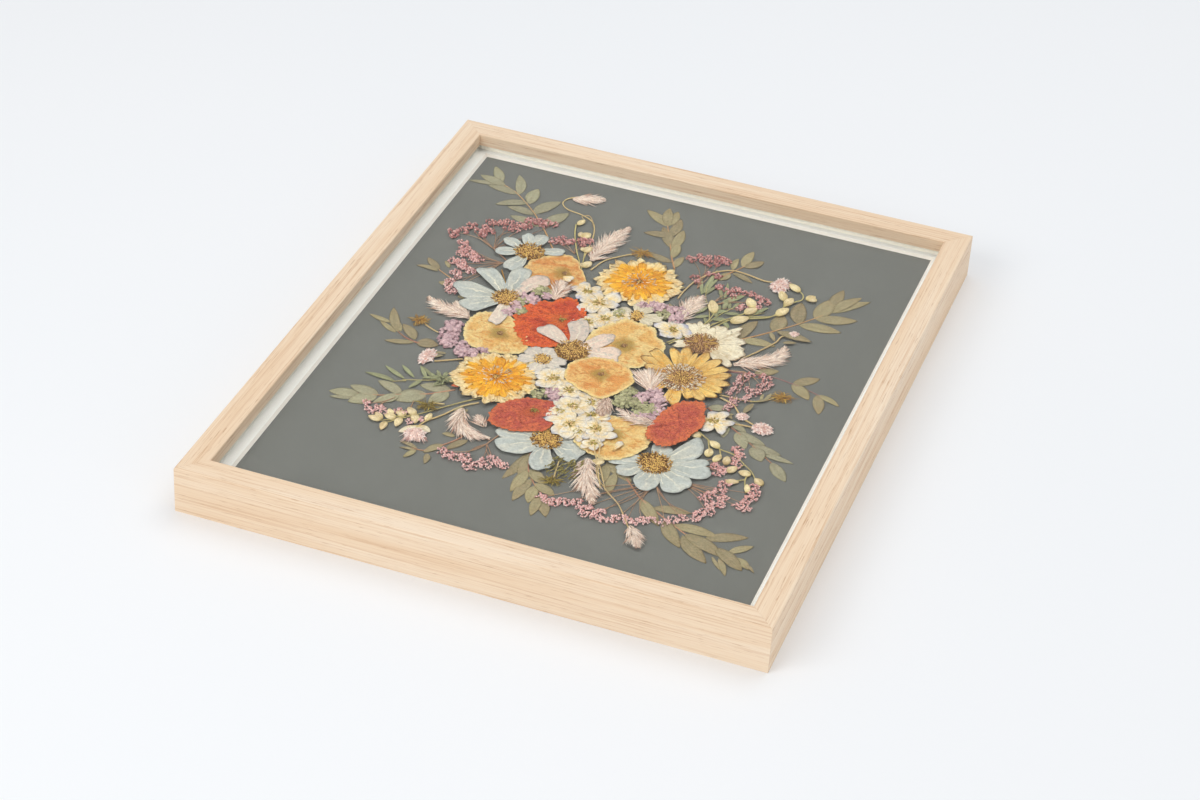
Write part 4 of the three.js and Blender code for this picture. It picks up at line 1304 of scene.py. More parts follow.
RICE_SPRAYS = {
    "rice_flower_spray_top_left": (1, (-113, 99), 0.5, [
        ((-130, 112), [
            (-168, 122, 6), (-161, 127, 6), (-158, 136, 6), (-150, 130, 6), (-147, 137, 6),
            (-141, 134, 5), (-146, 147, 6), (-140, 149, 5), (-134, 153, 6), (-131, 146, 6),
            (-124, 144, 5), (-124, 152, 6), (-118, 153, 6), (-119, 162, 6), (-112, 164, 6),
            (-106, 165, 6), (-100, 165, 5), (-108, 160, 5), (-145, 127, 5), (-165, 116, 5),
        ]),
    ]),
    "rice_flower_spray_left": (1, (-104, 88), 0.15, [
        ((-116, 96), [
            (-155, 109, 6), (-151, 103, 6), (-146, 98, 7), (-141, 95, 6), (-138, 90, 5), (-150, 94, 6),
            (-135, 92, 6), (-151, 82, 6), (-145, 82, 6), (-142, 77, 6), (-137, 76, 5), (-133, 73, 5),
            (-144, 67, 6), (-140, 63, 5), (-143, 55, 5), (-142, 48, 6), (-138, 42, 6), (-133, 42, 5),
            (-137, 50, 5),
        ]),
    ]),
    "rice_flower_spray_right": (1, (88, 27), 0.3, [
        ((103, 31), [
            (119, 30, 6), (123, 23, 6), (121, 17, 6), (119, 10, 5), (116, 3, 5), (114, -3, 5),
            (112, 9, 5), (104, 22, 6), (103, 14, 5), (104, 6, 5), (101, 0, 4), (107, -7, 5),
            (107, -14, 5), (105, -20, 4), (108, 28, 5),
        ]),
    ]),
    "rice_flower_spray_bottom_left": (1, (-32, -112), 0, [
        ((-38, -132), [
            (-64, -153, 5), (-58, -156, 6), (-52, -157, 6), (-46, -154, 6), (-42, -158, 6),
            (-40, -164, 5), (-35, -160, 6), (-34, -153, 5), (-27, -148, 6), (-22, -151, 6),
            (-17, -152, 5), (-28, -158, 5),
        ]),
    ]),
    "rice_flower_spray_bottom_right": (1, (60, -112), -0.3, [
        ((88, -128), [
            (20, -175, 5), (26, -177, 5), (31, -178, 6), (35, -174, 5), (40, -174, 5), (45, -170, 5),
            (50, -176, 5), (55, -173, 4), (54, -181, 5), (61, -180, 6), (64, -175, 5), (69, -182, 5),
            (75, -178, 5), (80, -174, 5), (84, -176, 5), (90, -175, 5), (94, -172, 6), (99, -169, 5),
            (108, -168, 5), (112, -163, 6), (118, -158, 5), (126, -156, 5), (127, -150, 6),
        ]),
        ((100, -118), [
            (131, -144, 7), (130, -136, 6), (136, -133, 6), (124, -129, 5), (128, -124, 6),
            (136, -124, 6), (132, -115, 6), (133, -108, 6), (155, -110, 6), (155, -117, 6),
            (152, -124, 5), (149, -130, 5), (155, -130, 5), (153, -103, 5),
        ]),
        ((100, -100), [
            (124, -97, 6), (120, -91, 5), (127, -92, 5), (133, -84, 5), (131, -77, 4), (128, -66, 6),
            (132, -72, 5),
        ]),
    ]),
    "rice_flower_tuft_upper_left": (1.2, None, 0.4, [
        ((-70, 132), [
            (-91, 142, 6), (-86, 147, 6), (-82, 143, 5), (-78, 147, 5), (-70, 152, 6), (-64, 153, 5),
            (-68, 147, 5),
        ]),
    ]),
    "rice_flower_tuft_top": (1.2, None, 0.6, [
        ((34, 125), [
            (17, 163, 6), (22, 168, 6), (27, 165, 6), (30, 170, 6), (37, 172, 6), (43, 170, 6),
            (38, 165, 5), (32, 162, 5),
        ]),
        ((34, 125), [
            (28, 138, 5), (31, 133, 4), (36, 147, 4), (43, 147, 5),
        ]),
    ]),
    "rice_flower_tuft_upper_right": (1.2, None, 0.4, [
        ((50, 105), [
            (50, 133, 5), (57, 130, 5), (62, 135, 5), (68, 133, 5), (75, 134, 5), (82, 131, 5),
            (88, 128, 6), (84, 122, 5), (78, 122, 5), (75, 115, 5), (63, 125, 4), (85, 117, 4),
            (73, 110, 4),
        ]),
    ]),
    "rice_flower_tuft_lower_left": (1.2, None, 0, [
        ((-106, -104), [
            (-111, -121, 4), (-106, -122, 3), (-98, -130, 4), (-91, -124, 4),
        ]),
        ((-120, -106), [
            (-136, -121, 4), (-130, -126, 6), (-125, -123, 5), (-121, -126, 5), (-128, -130, 3),
        ]),
    ]),
}
for number, (name, (layer, root, age, groups)) in enumerate(RICE_SPRAYS.items()):
    made = rice_spray(layer, 61 + number, root, age, groups)
    if "tuft" in name:
        made.lay(name, "rice_flower")
    else:
        made.stand_in(name, "rice_flower")


# ---------------------------------------------------------------- celosia

CELOSIAS = {
    "celosia_top_left": (1, [([(-100, 209), (-94, 211), (-86, 214), (-74, 219)], 17)], [
        [
            (-98, 213), (-104, 207), (-105, 199), (-98, 192), (-85, 189), (-74, 183), (-68, 172),
            (-64, 155), (-61, 130),
        ],
    ]),
    "celosia_bottom_right": (3, [([(87, -181), (92, -188), (96, -195), (103, -203)], 14)], [
        [(88, -184), (73, -162), (60, -150), (48, -137), (42, -124)],
    ]),
    "celosia_tall": (2, [([(-54, 128), (-52, 150), (-48, 170), (-42, 192)], 21)], []),
    "celosia_upper_centre": (2, [([(37, 78), (37, 90), (38, 100), (43, 119)], 20)], []),
    "celosia_right": (2, [([(92, 37), (103, 43), (113, 51), (120, 62), (121, 80)], 20)], []),
    "celosia_left": (2, [
        ([(-110, 13), (-122, 15), (-134, 18), (-143, 22), (-152, 29)], 17),
        ([(-112, 16), (-119, 20), (-124, 25), (-129, 31)], 13),
    ], []),
    "celosia_lower_left": (
        2, [([(-69, -99), (-67, -112), (-60, -122), (-50, -126), (-34, -125)], 18)], [],
    ),
    "celosia_bottom": (2, [([(34, -119), (39, -137), (46, -152), (58, -172)], 21)], []),
}
for number, (node, (layer, heads, lines)) in enumerate(CELOSIAS.items()):
    made = Specimen(layer, 81 + number)
    for spine, width in heads:
        span = np.linalg.norm(np.subtract(spine[-1], spine[0]))
        plume(made, spine, width, int(60 + 6 * span), CELOSIA)
    stems(made, lines, 0.5, GOLD_STEM)
    made.stand_in(node, "celosia")

SMALL_PLUMES = {
    "celosia_small_upper": (4.4, [(-61, 64), (-62, 78), (-64, 95)], 18, CELOSIA),
    "celosia_fan_centre": (6.2, [(46, -20), (41, -9), (34, 2)], 27, CELOSIA),
    "celosia_thin_right": (5.8, [(64, -59), (52, -60), (40, -57), (29, -51)], 15, CELOSIA),
    "celosia_small_lower": (2.4, [(-46, -115), (-52, -109), (-58, -101)], 12, CELOSIA),
    "hairy_stalk_centre": (5.4, [(20, -42), (23, -54), (24, -68)], 16, TASSEL),
}
for number, (name, (layer, spine, width, finish)) in enumerate(SMALL_PLUMES.items()):
    made = Specimen(layer, 101 + number)
    plume(made, spine, width, 10 * width, finish)
    made.lay(name, "celosia")


# ---------------------------------------------------------------- zinnias

orange_zinnia("orange_zinnia_upper", 2, 121, (-9.5, 114))
orange_zinnia("orange_zinnia_lower", 4, 122, (-62.5, -52))


made = open_flower(
    3, 131, (61, 54), (13.5, 13.5),
    [
        (88, 78, 18), (73, 83, 16), (62, 79, 10), (53, 85, 10), (43, 77, 12), (37, 68, 10), (95, 66, 15),
        (97, 51, 16), (93, 35, 15), (40, 44, 10), (84, 88, 6),
    ],
    CREAM_PETAL, BROWN_DISC, 0.7, 300, 0.12,
)
hairs(made, (61, 54), 1, 8, 6, 46, GOLD_FLORET, 0.3, dark=0.3)
made.stand_in("cream_zinnia", "cream_petal")
made = open_flower(
    6, 132, (62, 4), (18, 18),
    [
        (43, 41, 8), (53, 46, 9), (62, 43, 4), (71, 46, 8), (82, 40, 9), (91, 32, 8), (96, 23, 9.5),
        (98, 11, 9), (97, 0, 9), (94, -10, 9), (86, -17, 9), (77, -20, 8), (67, -33, 9), (60, -31, 6),
        (28, 33, 10), (25, 21, 10), (31, 10, 9), (35, -4, 9), (46, -18, 8),
    ],
    OCHRE_PETAL, BROWN_DISC, 0.4, 420, 0.05,
)
hairs(made, (62, 4), 9, 16.5, 2.6, 150, PALE_FLORET, 0.5, height=0.9, lean=0.35, dark=0.5)
floret_disc(made, (62, 4), 9.5, 9.5, 1.1, 130, GOLD_FLORET, 0.3)
made.stand_in("yellow_zinnia", "yellow_petal")
made = open_flower(
    4, 133, (4, 69), (5.5, 7),
    [(0, 87, 8), (12, 85, 8), (25, 73, 12), (19, 61, 9), (-11, 74, 9), (-9, 60, 9)],
    AGED_PETAL, GOLD_FLORET, 0.4, 90,
)
made.stand_in("daisy_upper", "daisy_petal")
made = open_flower(
    5, 134, (-40, -15), (7, 7),
    [(-55, -5, 14), (-38, 1, 14), (-22, -9, 15), (-25, -29, 15), (-42, -34, 11), (-58, -22, 11)],
    COSMOS, GOLD_FLORET, 0.4, 110, warm=0.4,
)
made.stand_in("daisy_centre", "daisy_petal")


# ---------------------------------------------------------------- cosmos

PLAIN_COSMOS = [
    (-114, 145, 10), (-101, 148, 12), (-77, 131, 11), (-128, 131, 11), (-128, 110, 12), (-109, 88, 15),
]
cosmos(
    "cosmos_upper_left", 4, 141, (-103, 120), (11.5, 11.5),
    [petal_outline((-103, 120), (x, y), width) for x, y, width in PLAIN_COSMOS],
)
cosmos(
    "cosmos_left", 5, 142, (-95, 50.5), (10.5, 10.5),
    [
        [
            (-100, 53), (-110, 61), (-124, 72), (-131, 78), (-129, 83), (-125, 86), (-117, 85),
            (-107, 75), (-97, 58),
        ],
        [(-100, 56), (-104, 75), (-105, 90), (-97, 97), (-90, 92), (-90, 75), (-92, 58)],
        [(-93, 57), (-91, 80), (-84, 92), (-80, 93), (-75, 90), (-71, 82), (-80, 70), (-88, 54)],
        [(-100, 54), (-128, 61), (-138, 57), (-139, 50), (-132, 43), (-125, 38), (-110, 40), (-100, 46)],
        [(-101, 49), (-118, 41), (-126, 33), (-125, 28), (-120, 25), (-110, 24), (-101, 36), (-95, 44)],
        [(-97, 46), (-97, 30), (-96, 15), (-91, 13), (-87, 14), (-85, 25), (-87, 38), (-90, 46)],
    ],
    warm={2: 0.8, 5: 0.6},
)
cosmos(
    "cosmos_centre", 6, 143, (-24, 5), (13, 13.5),
    [
        [
            (-32, 14), (-43, 12), (-50, 17), (-56, 16.5), (-59, 22), (-57, 27), (-50, 31), (-42, 27),
            (-34, 19), (-29, 11),
        ],
        [
            (-30, 14), (-34, 27), (-40, 37), (-36, 43), (-30, 48), (-25, 43), (-21, 33), (-20, 24),
            (-22, 12),
        ],
        [(-22, 13), (-17, 25), (-11, 35), (-4, 38), (0, 34), (-1, 26), (-6, 17), (-15, 9)],
        [(-16, 10), (-6, 16), (0, 21), (6, 22), (10, 18), (12, 10), (11, 3), (0, 0), (-14, 2)],
    ],
    warm={0: 0.65, 1: 0.6, 2: 0.85, 3: 0.85},
)
cosmos(
    "cosmos_lower_centre", 3, 144, (-1, -109.5), (11.5, 11.5),
    [
        [
            (-6, -106), (-12, -105), (-25, -103), (-36, -107), (-40, -112), (-35, -118), (-25, -122),
            (-10, -117), (-6, -113),
        ],
        [
            (-5, -112), (-9, -117), (-25, -119), (-34, -122), (-33, -129), (-25, -135), (-15, -134),
            (-6, -128), (-3, -115),
        ],
        [(-3, -115), (-5, -130), (-4, -137), (0, -145), (8, -146), (15, -136), (9, -126), (3, -114)],
        [
            (4, -107), (9, -105), (20, -105), (29, -106), (30, -112), (29, -120), (24, -128), (16, -126),
            (7, -118), (4, -112),
        ],
        [(3, -105), (10, -101), (16, -101), (17, -106), (6, -109)],
        [(-6, -106), (-12, -101), (-17, -102), (-16, -107), (-7, -109)],
    ],
)
cosmos(
    "cosmos_lower_right", 3, 145, (79, -105), (12.5, 12.5),
    [
        [(75, -99), (71, -88), (72, -81), (78, -79), (84, -81), (86, -88), (83, -99)],
        [
            (83, -99), (85, -90), (90, -75), (96, -63), (99, -62), (106, -74), (104, -88), (92, -97),
            (87, -101),
        ],
        [
            (87, -101), (98, -92), (110, -86), (116, -88), (113, -93), (119, -95), (120, -103),
            (116, -109), (103, -111), (88, -107),
        ],
        [(88, -107), (106, -110), (111, -117), (109, -127), (98, -134), (92, -129), (85, -113)],
        [(83, -112), (89, -120), (89, -131), (84, -138), (76, -136), (71, -126), (76, -112)],
        [(76, -112), (71, -123), (64, -128), (58, -126), (55, -120), (58, -116), (71, -107)],
        [(71, -107), (62, -114), (51, -117), (48, -113), (62, -101), (72, -101)],
    ],
)


# ---------------------------------------------------------------- papery round flowers

YELLOW_SHEETS = {
    "yellow_poppy_upper_left": (3, (-66, 102), [
        (-75, 128), (-68, 126), (-62, 121), (-58, 114), (-52, 106), (-47, 96), (-50, 86), (-58, 78),
        (-68, 74), (-80, 75), (-90, 80), (-95, 88), (-98, 98), (-98, 108), (-94, 115), (-88, 121),
        (-82, 127),
    ]),
    "yellow_poppy_left": (3, (-81, 3), [
        (-108, 20), (-103, 26), (-94, 28), (-83, 28), (-75, 22), (-68, 15), (-60, 6), (-56, -2),
        (-56, -12), (-62, -18), (-72, -22), (-84, -23), (-95, -21), (-103, -15), (-107, -6), (-110, 6),
    ]),
    "yellow_poppy_centre": (5, (9, 26), [
        (-20, 34), (-14, 45), (-7, 55), (1, 62), (13, 60), (24, 57), (28, 48), (36, 42), (39, 33),
        (38, 22), (34, 12), (27, 2), (14, -2), (0, -1), (-12, 6), (-19, 20),
    ]),
    "yellow_poppy_lower": (4, (40, -84), [
        (68, -82), (67, -92), (62, -102), (51, -113), (42, -115), (32, -112), (20, -106), (15, -99),
        (15, -90), (18, -78), (24, -68), (34, -62), (48, -60), (60, -63), (66, -72),
    ]),
    "yellow_poppy_lower_centre": (7, (6, -16), [
        (-20, -17), (-19, -10), (-14, -3), (-6, 3), (6, 5), (17, 3), (24, -2), (29, -9), (32, -17),
        (29, -27), (24, -37), (18.5, -45), (11, -45), (-1, -41), (-9, -37), (-16, -32), (-19, -25),
    ]),
}
PALE_SHEETS = ("yellow_poppy_left", "yellow_poppy_centre", "yellow_poppy_lower")
for number, (node, (layer, eye, outline)) in enumerate(YELLOW_SHEETS.items()):
    sheet = YELLOW_SHEET if node in PALE_SHEETS else ORANGE_SHEET
    made = papery(layer, 151 + number, outline, eye, sheet)
    eye_grains(made, eye, 1.3, 22, 0.6, BROWN_DISC, 0.6)
    made.stand_in(node, "poppy_petal")

RED_SHEETS = {
    "red_poppy_upper": (4, (-45, 40), [
        (-55, 69), (-52, 71), (-45, 70), (-42, 66), (-38, 63), (-35, 60), (-31, 55), (-29, 51), (-33, 49),
        (-34, 45), (-33, 38), (-31, 28), (-31, 18), (-33, 8), (-37, 3), (-43, 0), (-50, -2), (-57, -5),
        (-62, 0), (-70, 8), (-76, 17), (-77, 25), (-82, 29), (-80, 34), (-75, 36), (-78, 40), (-79, 46),
        (-77, 50), (-72, 53), (-70, 57), (-62, 60), (-60, 63),
    ]),
    "red_poppy_lower": (5, (-22, -80), [
        (-47, -80), (-40, -72), (-30, -66), (-20, -64), (-12, -63), (-6, -64), (-4, -70), (-4, -78),
        (-4, -86), (-4, -96), (-8, -101), (-20, -107), (-30, -110), (-38, -109), (-45, -107), (-49, -101),
        (-50, -94), (-50, -87),
    ]),
    "red_poppy_right": (7, (78, -48), [
        (78, -21), (84, -19), (88, -20), (91, -26), (92, -33), (95, -39), (96, -44), (95, -52), (92, -60),
        (91, -67), (88, -72), (82, -80), (75, -83), (67, -80), (62, -75), (60, -68), (61, -58), (62, -50),
        (64, -40), (68, -30), (73, -24),
    ]),
}
for number, (node, (layer, eye, outline)) in enumerate(RED_SHEETS.items()):
    eyed = node != "red_poppy_right"
    sheet = BRIGHT_RED_SHEET if node == "red_poppy_upper" else RED_SHEET
    made = papery(layer, 171 + number, outline, eye, sheet, 0.25, 0.28, 0.055, eyed)
    if eyed:
        eye_grains(made, eye, 1.6, 30, 0.75, GREEN_FLORET, 0.7)
    made.stand_in(node, "red_petal")


# ---------------------------------------------------------------- small flowers between the large ones

STARS = {
    "larkspur_upper_left": (3.6, [((-41, 84), 13, 1.8), ((-28, 73), 19, 0.8)]),
    "larkspur_centre_left": (3.4, [((-26, 44), 12, 0.6), ((-7, 63), 10, 0.3), ((-16, 54), 15, 0.5)]),
    "larkspur_upper_right": (3.2, [((36, 61), 14, 1.2)]),
    "larkspur_centre": (5.2, [((-8, -46), 13, 0.6), ((-24, -36), 16, 0.4)]),
    "larkspur_lower_behind": (
        4.6, [((12, -54), 16, 0.6), ((18, -69), 14, 0.5), ((-4, -73), 11, 0.6), ((16, -92), 10, 0.2)],
    ),
    "larkspur_lower_centre": (6.0, [((2, -64), 14, 0.4), ((7, -85), 17, 0.6)]),
    "larkspur_lower_right": (6.2, [((27, -83), 15, 0.4), ((31, -100), 9, 0.0)]),
    "larkspur_right": (3.4, [((101, -39), 14, 0.6)]),
}
for number, (name, (layer, flowers)) in enumerate(STARS.items()):
    made = Specimen(layer, 201 + number)
    for centre, radius, tipped in flowers:
        star(made, centre, radius, tipped)
    made.lay(name, "white_petal")

STATICES = {
    "statice_far_left": (1.0, [(-117, -2, 8.5), (-116, -11, 9), (-114, -20, 8.5), (-112, -26, 6.5)], []),
    "statice_left": (
        1.6,
        [(-101, -24, 6), (-98, -31, 6.5), (-92, -30, 6), (-85, -26, 6), (-87, -34, 4), (-96, -36, 3.5)],
        [],
    ),
    "statice_upper_left": (
        3.6, [(-67, 66, 5), (-80, 58, 8), (-75, 56, 6), (-85, 45, 6), (-86, 33, 6), (-82, 39, 5)],
        [(-74, 70, 9), (-82, 50, 6), (-79, 38, 6)],
    ),
    "statice_upper_centre": (
        2.0, [(14, 86, 8), (21, 87, 8), (31, 86, 9), (33, 76, 7), (4, 84, 5)],
        [(23, 78, 7), (-8, 65, 7)],
    ),
    "statice_centre_right": (
        4.4, [(50, -22, 7), (57, -30, 8), (45, -32, 8), (60, -42, 7), (50, -56, 7), (57, -53, 6)],
        [(31, -28, 8), (33, -42, 10), (52, -44, 9), (42, -40, 7), (48, -52, 6)],
    ),
    "statice_centre": (4.6, [(-18, -53, 7), (-13, -58, 6)], [(-26, -58, 7)]),
}
for number, (name, (layer, lilac, green)) in enumerate(STATICES.items()):
    made = Specimen(layer, 221 + number)
    balls(made, lilac, STATICE)
    if green:
        balls(made, green, GREEN_CUP)
    made.lay(name, "rice_flower")

GLOBES = {
    "globe_flower_top_right": (
        1.4, (92, 155), (14, 21),
        [
            (86, 158), (78, 157), (65, 160), (52, 161), (42, 155), (35, 146), (29, 133), (26, 118),
            (25, 105),
        ],
    ),
    "globe_flower_left": (
        1.4, (-119, -48), (12, 20), [(-112, -51), (-110, -50), (-102, -45), (-94, -40)],
    ),
    "globe_flower_bottom_left": (
        1.4, (-89, -142), (16, 14), [(-91, -134), (-88, -124), (-80, -112), (-72, -97), (-62, -87)],
    ),
    "globe_flower_right": (1.4, (137, -34), (15, 15), [(131, -34), (120, -35), (104, -38)]),
    "globe_flower_right_small": (1.4, (119, -25), (9, 9), [(129, -31), (118, -25), (108, -13), (96, -8)]),
    "globe_flower_upper_right": (
        1.4, (122, 94), (8, 8), [(122, 94), (114, 88), (112, 78), (104, 62), (95, 46)],
    ),
}
for number, (name, (layer, centre, size, line)) in enumerate(GLOBES.items()):
    made = Specimen(layer, 241 + number)
    made.stem(line, 0.7, GOLD_STEM)
    globe(made, centre, *size)
    if name == "globe_flower_top_right":
        plume(made, [(90, 166), (91, 159), (93, 147)], 15, 90, GLOBE)
    if name == "globe_flower_bottom_left":
        collar = [(-91, -132, -101, -144, 8), (-91, -132, -80, -135, 9), (-91, -131, -91, -140, 9)]
        leaves(made, collar, CREAM_PETAL)
        plume(made, [(-91, -136), (-89, -142), (-87, -149)], 18, 170, GLOBE)
    made.lay(name, "rice_flower")

BUD_SPRAYS = {
    "bud_spray_upper_right": (
        2.2,
        [
            (108, 153, 98, 161, 7), (117, 144, 121, 152, 7), (124, 147, 117, 145, 6),
            (101, 136, 95, 148, 7), (104, 130, 106, 142, 7), (102, 114, 107, 127, 8),
            (82, 116, 75, 128, 8), (79, 106, 85, 117, 8), (73, 90, 83, 102, 9), (57, 97, 50, 113, 8),
        ],
        [
            [(37, 44), (47, 60), (60, 80), (70, 95), (85, 104), (100, 113), (103, 128), (105, 130)],
            [(39, 43), (50, 61), (63, 79), (71, 93), (86, 102), (98, 110), (102, 122)],
            [(103, 128), (109, 138), (113, 143), (112, 150), (107, 155)], [(101, 136), (103, 128)],
            [(70, 95), (78, 106), (82, 116)], [(52, 70), (56, 84), (57, 97)], [(100, 113), (102, 114)],
        ],
    ),
    "bud_spray_upper_left": (
        1.8,
        [
            (-82, 173, -80, 182, 5.5), (-72, 156, -69, 165, 8), (-75, 157, -76, 164, 4),
            (-63, 137, -61, 146, 7), (-65, 138, -67, 143, 4), (-56, 116, -54, 126, 7),
            (-57, 116, -60, 121, 4),
        ],
        [
            [(-84, 173), (-80, 160), (-75, 148), (-69, 135), (-62, 122), (-58, 112)],
            [(-63, 137), (-60, 125), (-57, 112)], [(-72, 157), (-75, 150)],
        ],
    ),
    "bud_spray_lower_left": (
        1.6,
        [
            (-118, -137, -128, -135, 6), (-118, -135, -125, -129, 5.5), (-114, -137, -113, -147, 5.5),
            (-109, -130, -118, -129, 7), (-113, -128, -118, -121, 5), (-104, -124, -112, -122, 6.5),
            (-98, -121, -106, -114, 6.5), (-98, -120, -94, -130, 6.5), (-106, -128, -105, -139, 6),
            (-88, -124, -88, -114, 5),
        ],
        [
            [(-62, -80), (-73, -91), (-85, -105), (-96, -118), (-106, -129), (-113, -137)],
            [(-97, -119), (-104, -124)], [(-108, -131), (-114, -134), (-119, -137)],
            [(-103, -126), (-110, -127)],
        ],
    ),
    "bud_spray_right": (
        2.0,
        [
            (99, -61, 90, -60, 6.5), (115, -69, 107, -63, 6.5), (111, -82, 110, -72, 6.5),
            (117, -86, 119, -76, 5.5), (126, -86, 124, -76, 6), (130, -94, 134, -85, 6.5),
            (146, -91, 137, -90, 7), (157, -99, 150, -93, 6.5), (132, -105, 141, -102, 5.5),
            (150, -111, 147, -102, 4.5),
        ],
        [
            [(92, -53), (105, -62), (115, -69), (128, -72), (138, -80), (145, -86), (150, -93)],
            [(145, -88), (144, -97), (149, -112)], [(116, -69), (118, -74), (121, -80)],
            [(138, -80), (136, -86)],
            [(105, -62), (109, -72)], [(144, -97), (137, -102)],
        ],
    ),
}
for number, (name, (layer, heads, lines)) in enumerate(BUD_SPRAYS.items()):
    made = Specimen(layer, 261 + number)
    stems(made, lines, 0.6, GREEN_STEM, 0.7)
    buds(made, heads)
    made.lay(name, "leaf")

FERNS = {
    "fern_spray_upper_right": (
        1.0,
        [
            [(60, 70), (54, 95), (44, 116), (40, 132)], [(56, 80), (62, 98), (72, 118)],
            [(60, 82), (78, 100), (92, 114)],
        ],
        [
            (40, 118, 40, 158, 4), (40, 118, 29, 146, 3), (41, 120, 45, 147, 3), (43, 120, 48, 136, 3),
            (56, 118, 48, 134, 3), (58, 118, 53, 143, 3), (57, 112, 72, 134, 6), (68, 110, 70, 119, 3),
            (66, 107, 64, 117, 3), (85, 108, 93, 122, 4), (80, 100, 98, 108, 4), (48, 108, 36, 116, 4),
            (50, 104, 44, 90, 4), (54, 98, 66, 104, 5), (55, 92, 44, 84, 4), (58, 88, 70, 92, 5),
            (60, 96, 58, 110, 4), (64, 100, 76, 104, 4), (62, 92, 52, 100, 4), (66, 90, 74, 82, 4),
            (50, 100, 40, 102, 4), (52, 88, 60, 78, 4), (57, 100, 50, 114, 5), (62, 104, 60, 120, 4),
        ],
    ),
    "fern_spray_left": (
        1.0,
        [
            [(-88, -64), (-103, -74), (-114, -79), (-124, -83)], [(-121, -83), (-130, -88)],
            [(-103, -73), (-96, -68)],
        ],
        [
            (-123, -81, -143, -71, 4), (-128, -87, -153, -85, 5), (-117, -77, -132, -65, 3.4),
            (-104, -72, -119, -61, 3), (-100, -68, -106, -61, 2.4), (-111, -77, -116, -91, 4),
            (-97, -66, -106, -76, 3), (-94, -66, -101, -78, 3), (-98, -68, -98, -60, 2.4),
            (-102, -71, -112, -66, 3), (-108, -75, -119, -61, 3), (-112, -75, -103, -71, 3),
            (-93, -74, -101, -82, 2.5),
        ],
    ),
}
for number, (name, (layer, lines, table)) in enumerate(FERNS.items()):
    made = Specimen(layer, 281 + number)
    stems(made, lines, 0.5, GREEN_STEM, 0.6)
    leaves(made, table, FERN, 0.1)
    made.lay(name, "leaf")

DRIED_HEADS = {
    "dried_head_left": (
        1.2, [(-143, -15), (-143, -6), (-142, 4)], 13, DRIED, [(-137, -9), (-131, -12), (-124, -15)],
    ),
    "dried_head_lower_left": (
        2.0, [(-94, -102), (-94, -106), (-94, -111)], 15, MOSS_BRISTLE, [(-92, -101), (-84, -99)],
    ),
    "dried_head_right": (
        1.2, [(133, 5), (139, 10), (145, 15)], 15, DRIED, [(133, 7), (120, -3), (95, -5)],
    ),
    "dried_head_top": (
        1.4, [(-30, 151), (-22, 155), (-14, 158)], 15, DRIED,
        [(-28, 151), (-36, 143), (-45, 132), (-50, 115)],
    ),
    "dried_head_bottom": (
        1.6, [(20, -149), (20, -154), (20, -160)], 13, MOSS_BRISTLE,
        [(20, -150), (18, -140), (16, -128)],
    ),
}
for number, (name, (layer, spine, width, finish, line)) in enumerate(DRIED_HEADS.items()):
    made = Specimen(layer, 301 + number)
    made.stem(line, 0.6, GOLD_STEM)
    plume(made, spine, 0.7 * width, 26, finish)
    spiky(made, spine[1], 1.4 * width, 1.2 * width, finish)
    made.lay(name, "celosia")

# ---------------------------------------------------------------- crumbs and broken bits

made = Specimen(7.2, 321)
petals = np.array([
    (47, -101, 49, -89, 7), (-66, 96, -57, 98, 7), (-65, 93, -58, 94, 6), (-62, 99, -60, 91, 6),
], float)
blade = blades(petals[:, :2], petals[:, 2:4], petals[:, 4], petal_width, teeth=0.1, arch=0.4, curl=-0.5)
blade[..., 2] += 0.6
made.sheet(blade, STAR)
made.lay("loose_cream_petals", "daisy_petal")

made = Specimen(7.0, 322)
twigs = [[(31, -97), (37, -112), (46, -126), (58, -149)], [(36, -99), (40, -113), (45, -128), (54, -148)]]
stems(made, twigs, 0.55, GOLD_STEM, 0.7)
buds(made, [(43, -115, 42, -123, 7), (38, -120, 45, -117, 5)])
made.lay("crossed_twigs", "leaf")

made = Specimen(2.6, 323)
tips = np.column_stack([made.random.uniform(10, 33, 70), made.random.uniform(-149, -127, 70)])
feet = tips + made.random.normal(0, 1, (70, 2)) + [1.5, 3.4]
tufts(made, feet, tips, MOSS)
lines = [
    [(26, -124), (20, -134), (13, -146)], [(25, -126), (24, -138), (22, -149)], [(26, -124), (30, -136)],
]
stems(made, lines, 0.5, GREEN_STEM, 0.6)
made.lay("moss_like_sprig", "leaf")

BRACTS = [
    (-109, -41, -116, -48, 3), (-108, -38, -117, -41, 3), (103, -25, 113, -30, 5),
    (104, -29, 112, -24, 4), (118, -20, 121, -5, 5), (122, -2, 130, 3, 3), (127, 1, 129, 13, 3),
    (125, 0, 124, 10, 2.5), (-66, -98, -71, -107, 4), (-70, -97, -75, -104, 4), (28, 88, 21, 96, 3),
    (40, -118, 33, -126, 3), (108, 93, 137, 90, 9), (104, 90, 111, 79, 4), (117, 80, 127, 84, 4),
]
made = Specimen(2.0, 324)
leaves(made, BRACTS, LEAF, 0.1)
made.stem([(118, -4), (127, 1), (128, 9)], 0.5, GREEN_STEM, taper=0.6)
made.stem([(-70, 176), (-74, 184), (-79, 190), (-84, 187), (-80, 182)], 0.5, GOLD_STEM, taper=0.5)
made.stem([(-99, 94), (-98, 78), (-96, 62)], 0.8, DRIED, taper=0.7)
made.stem([(-113, 86), (-107, 76), (-100, 64)], 0.6, DRIED, taper=0.7)
made.lay("loose_bracts", "leaf")

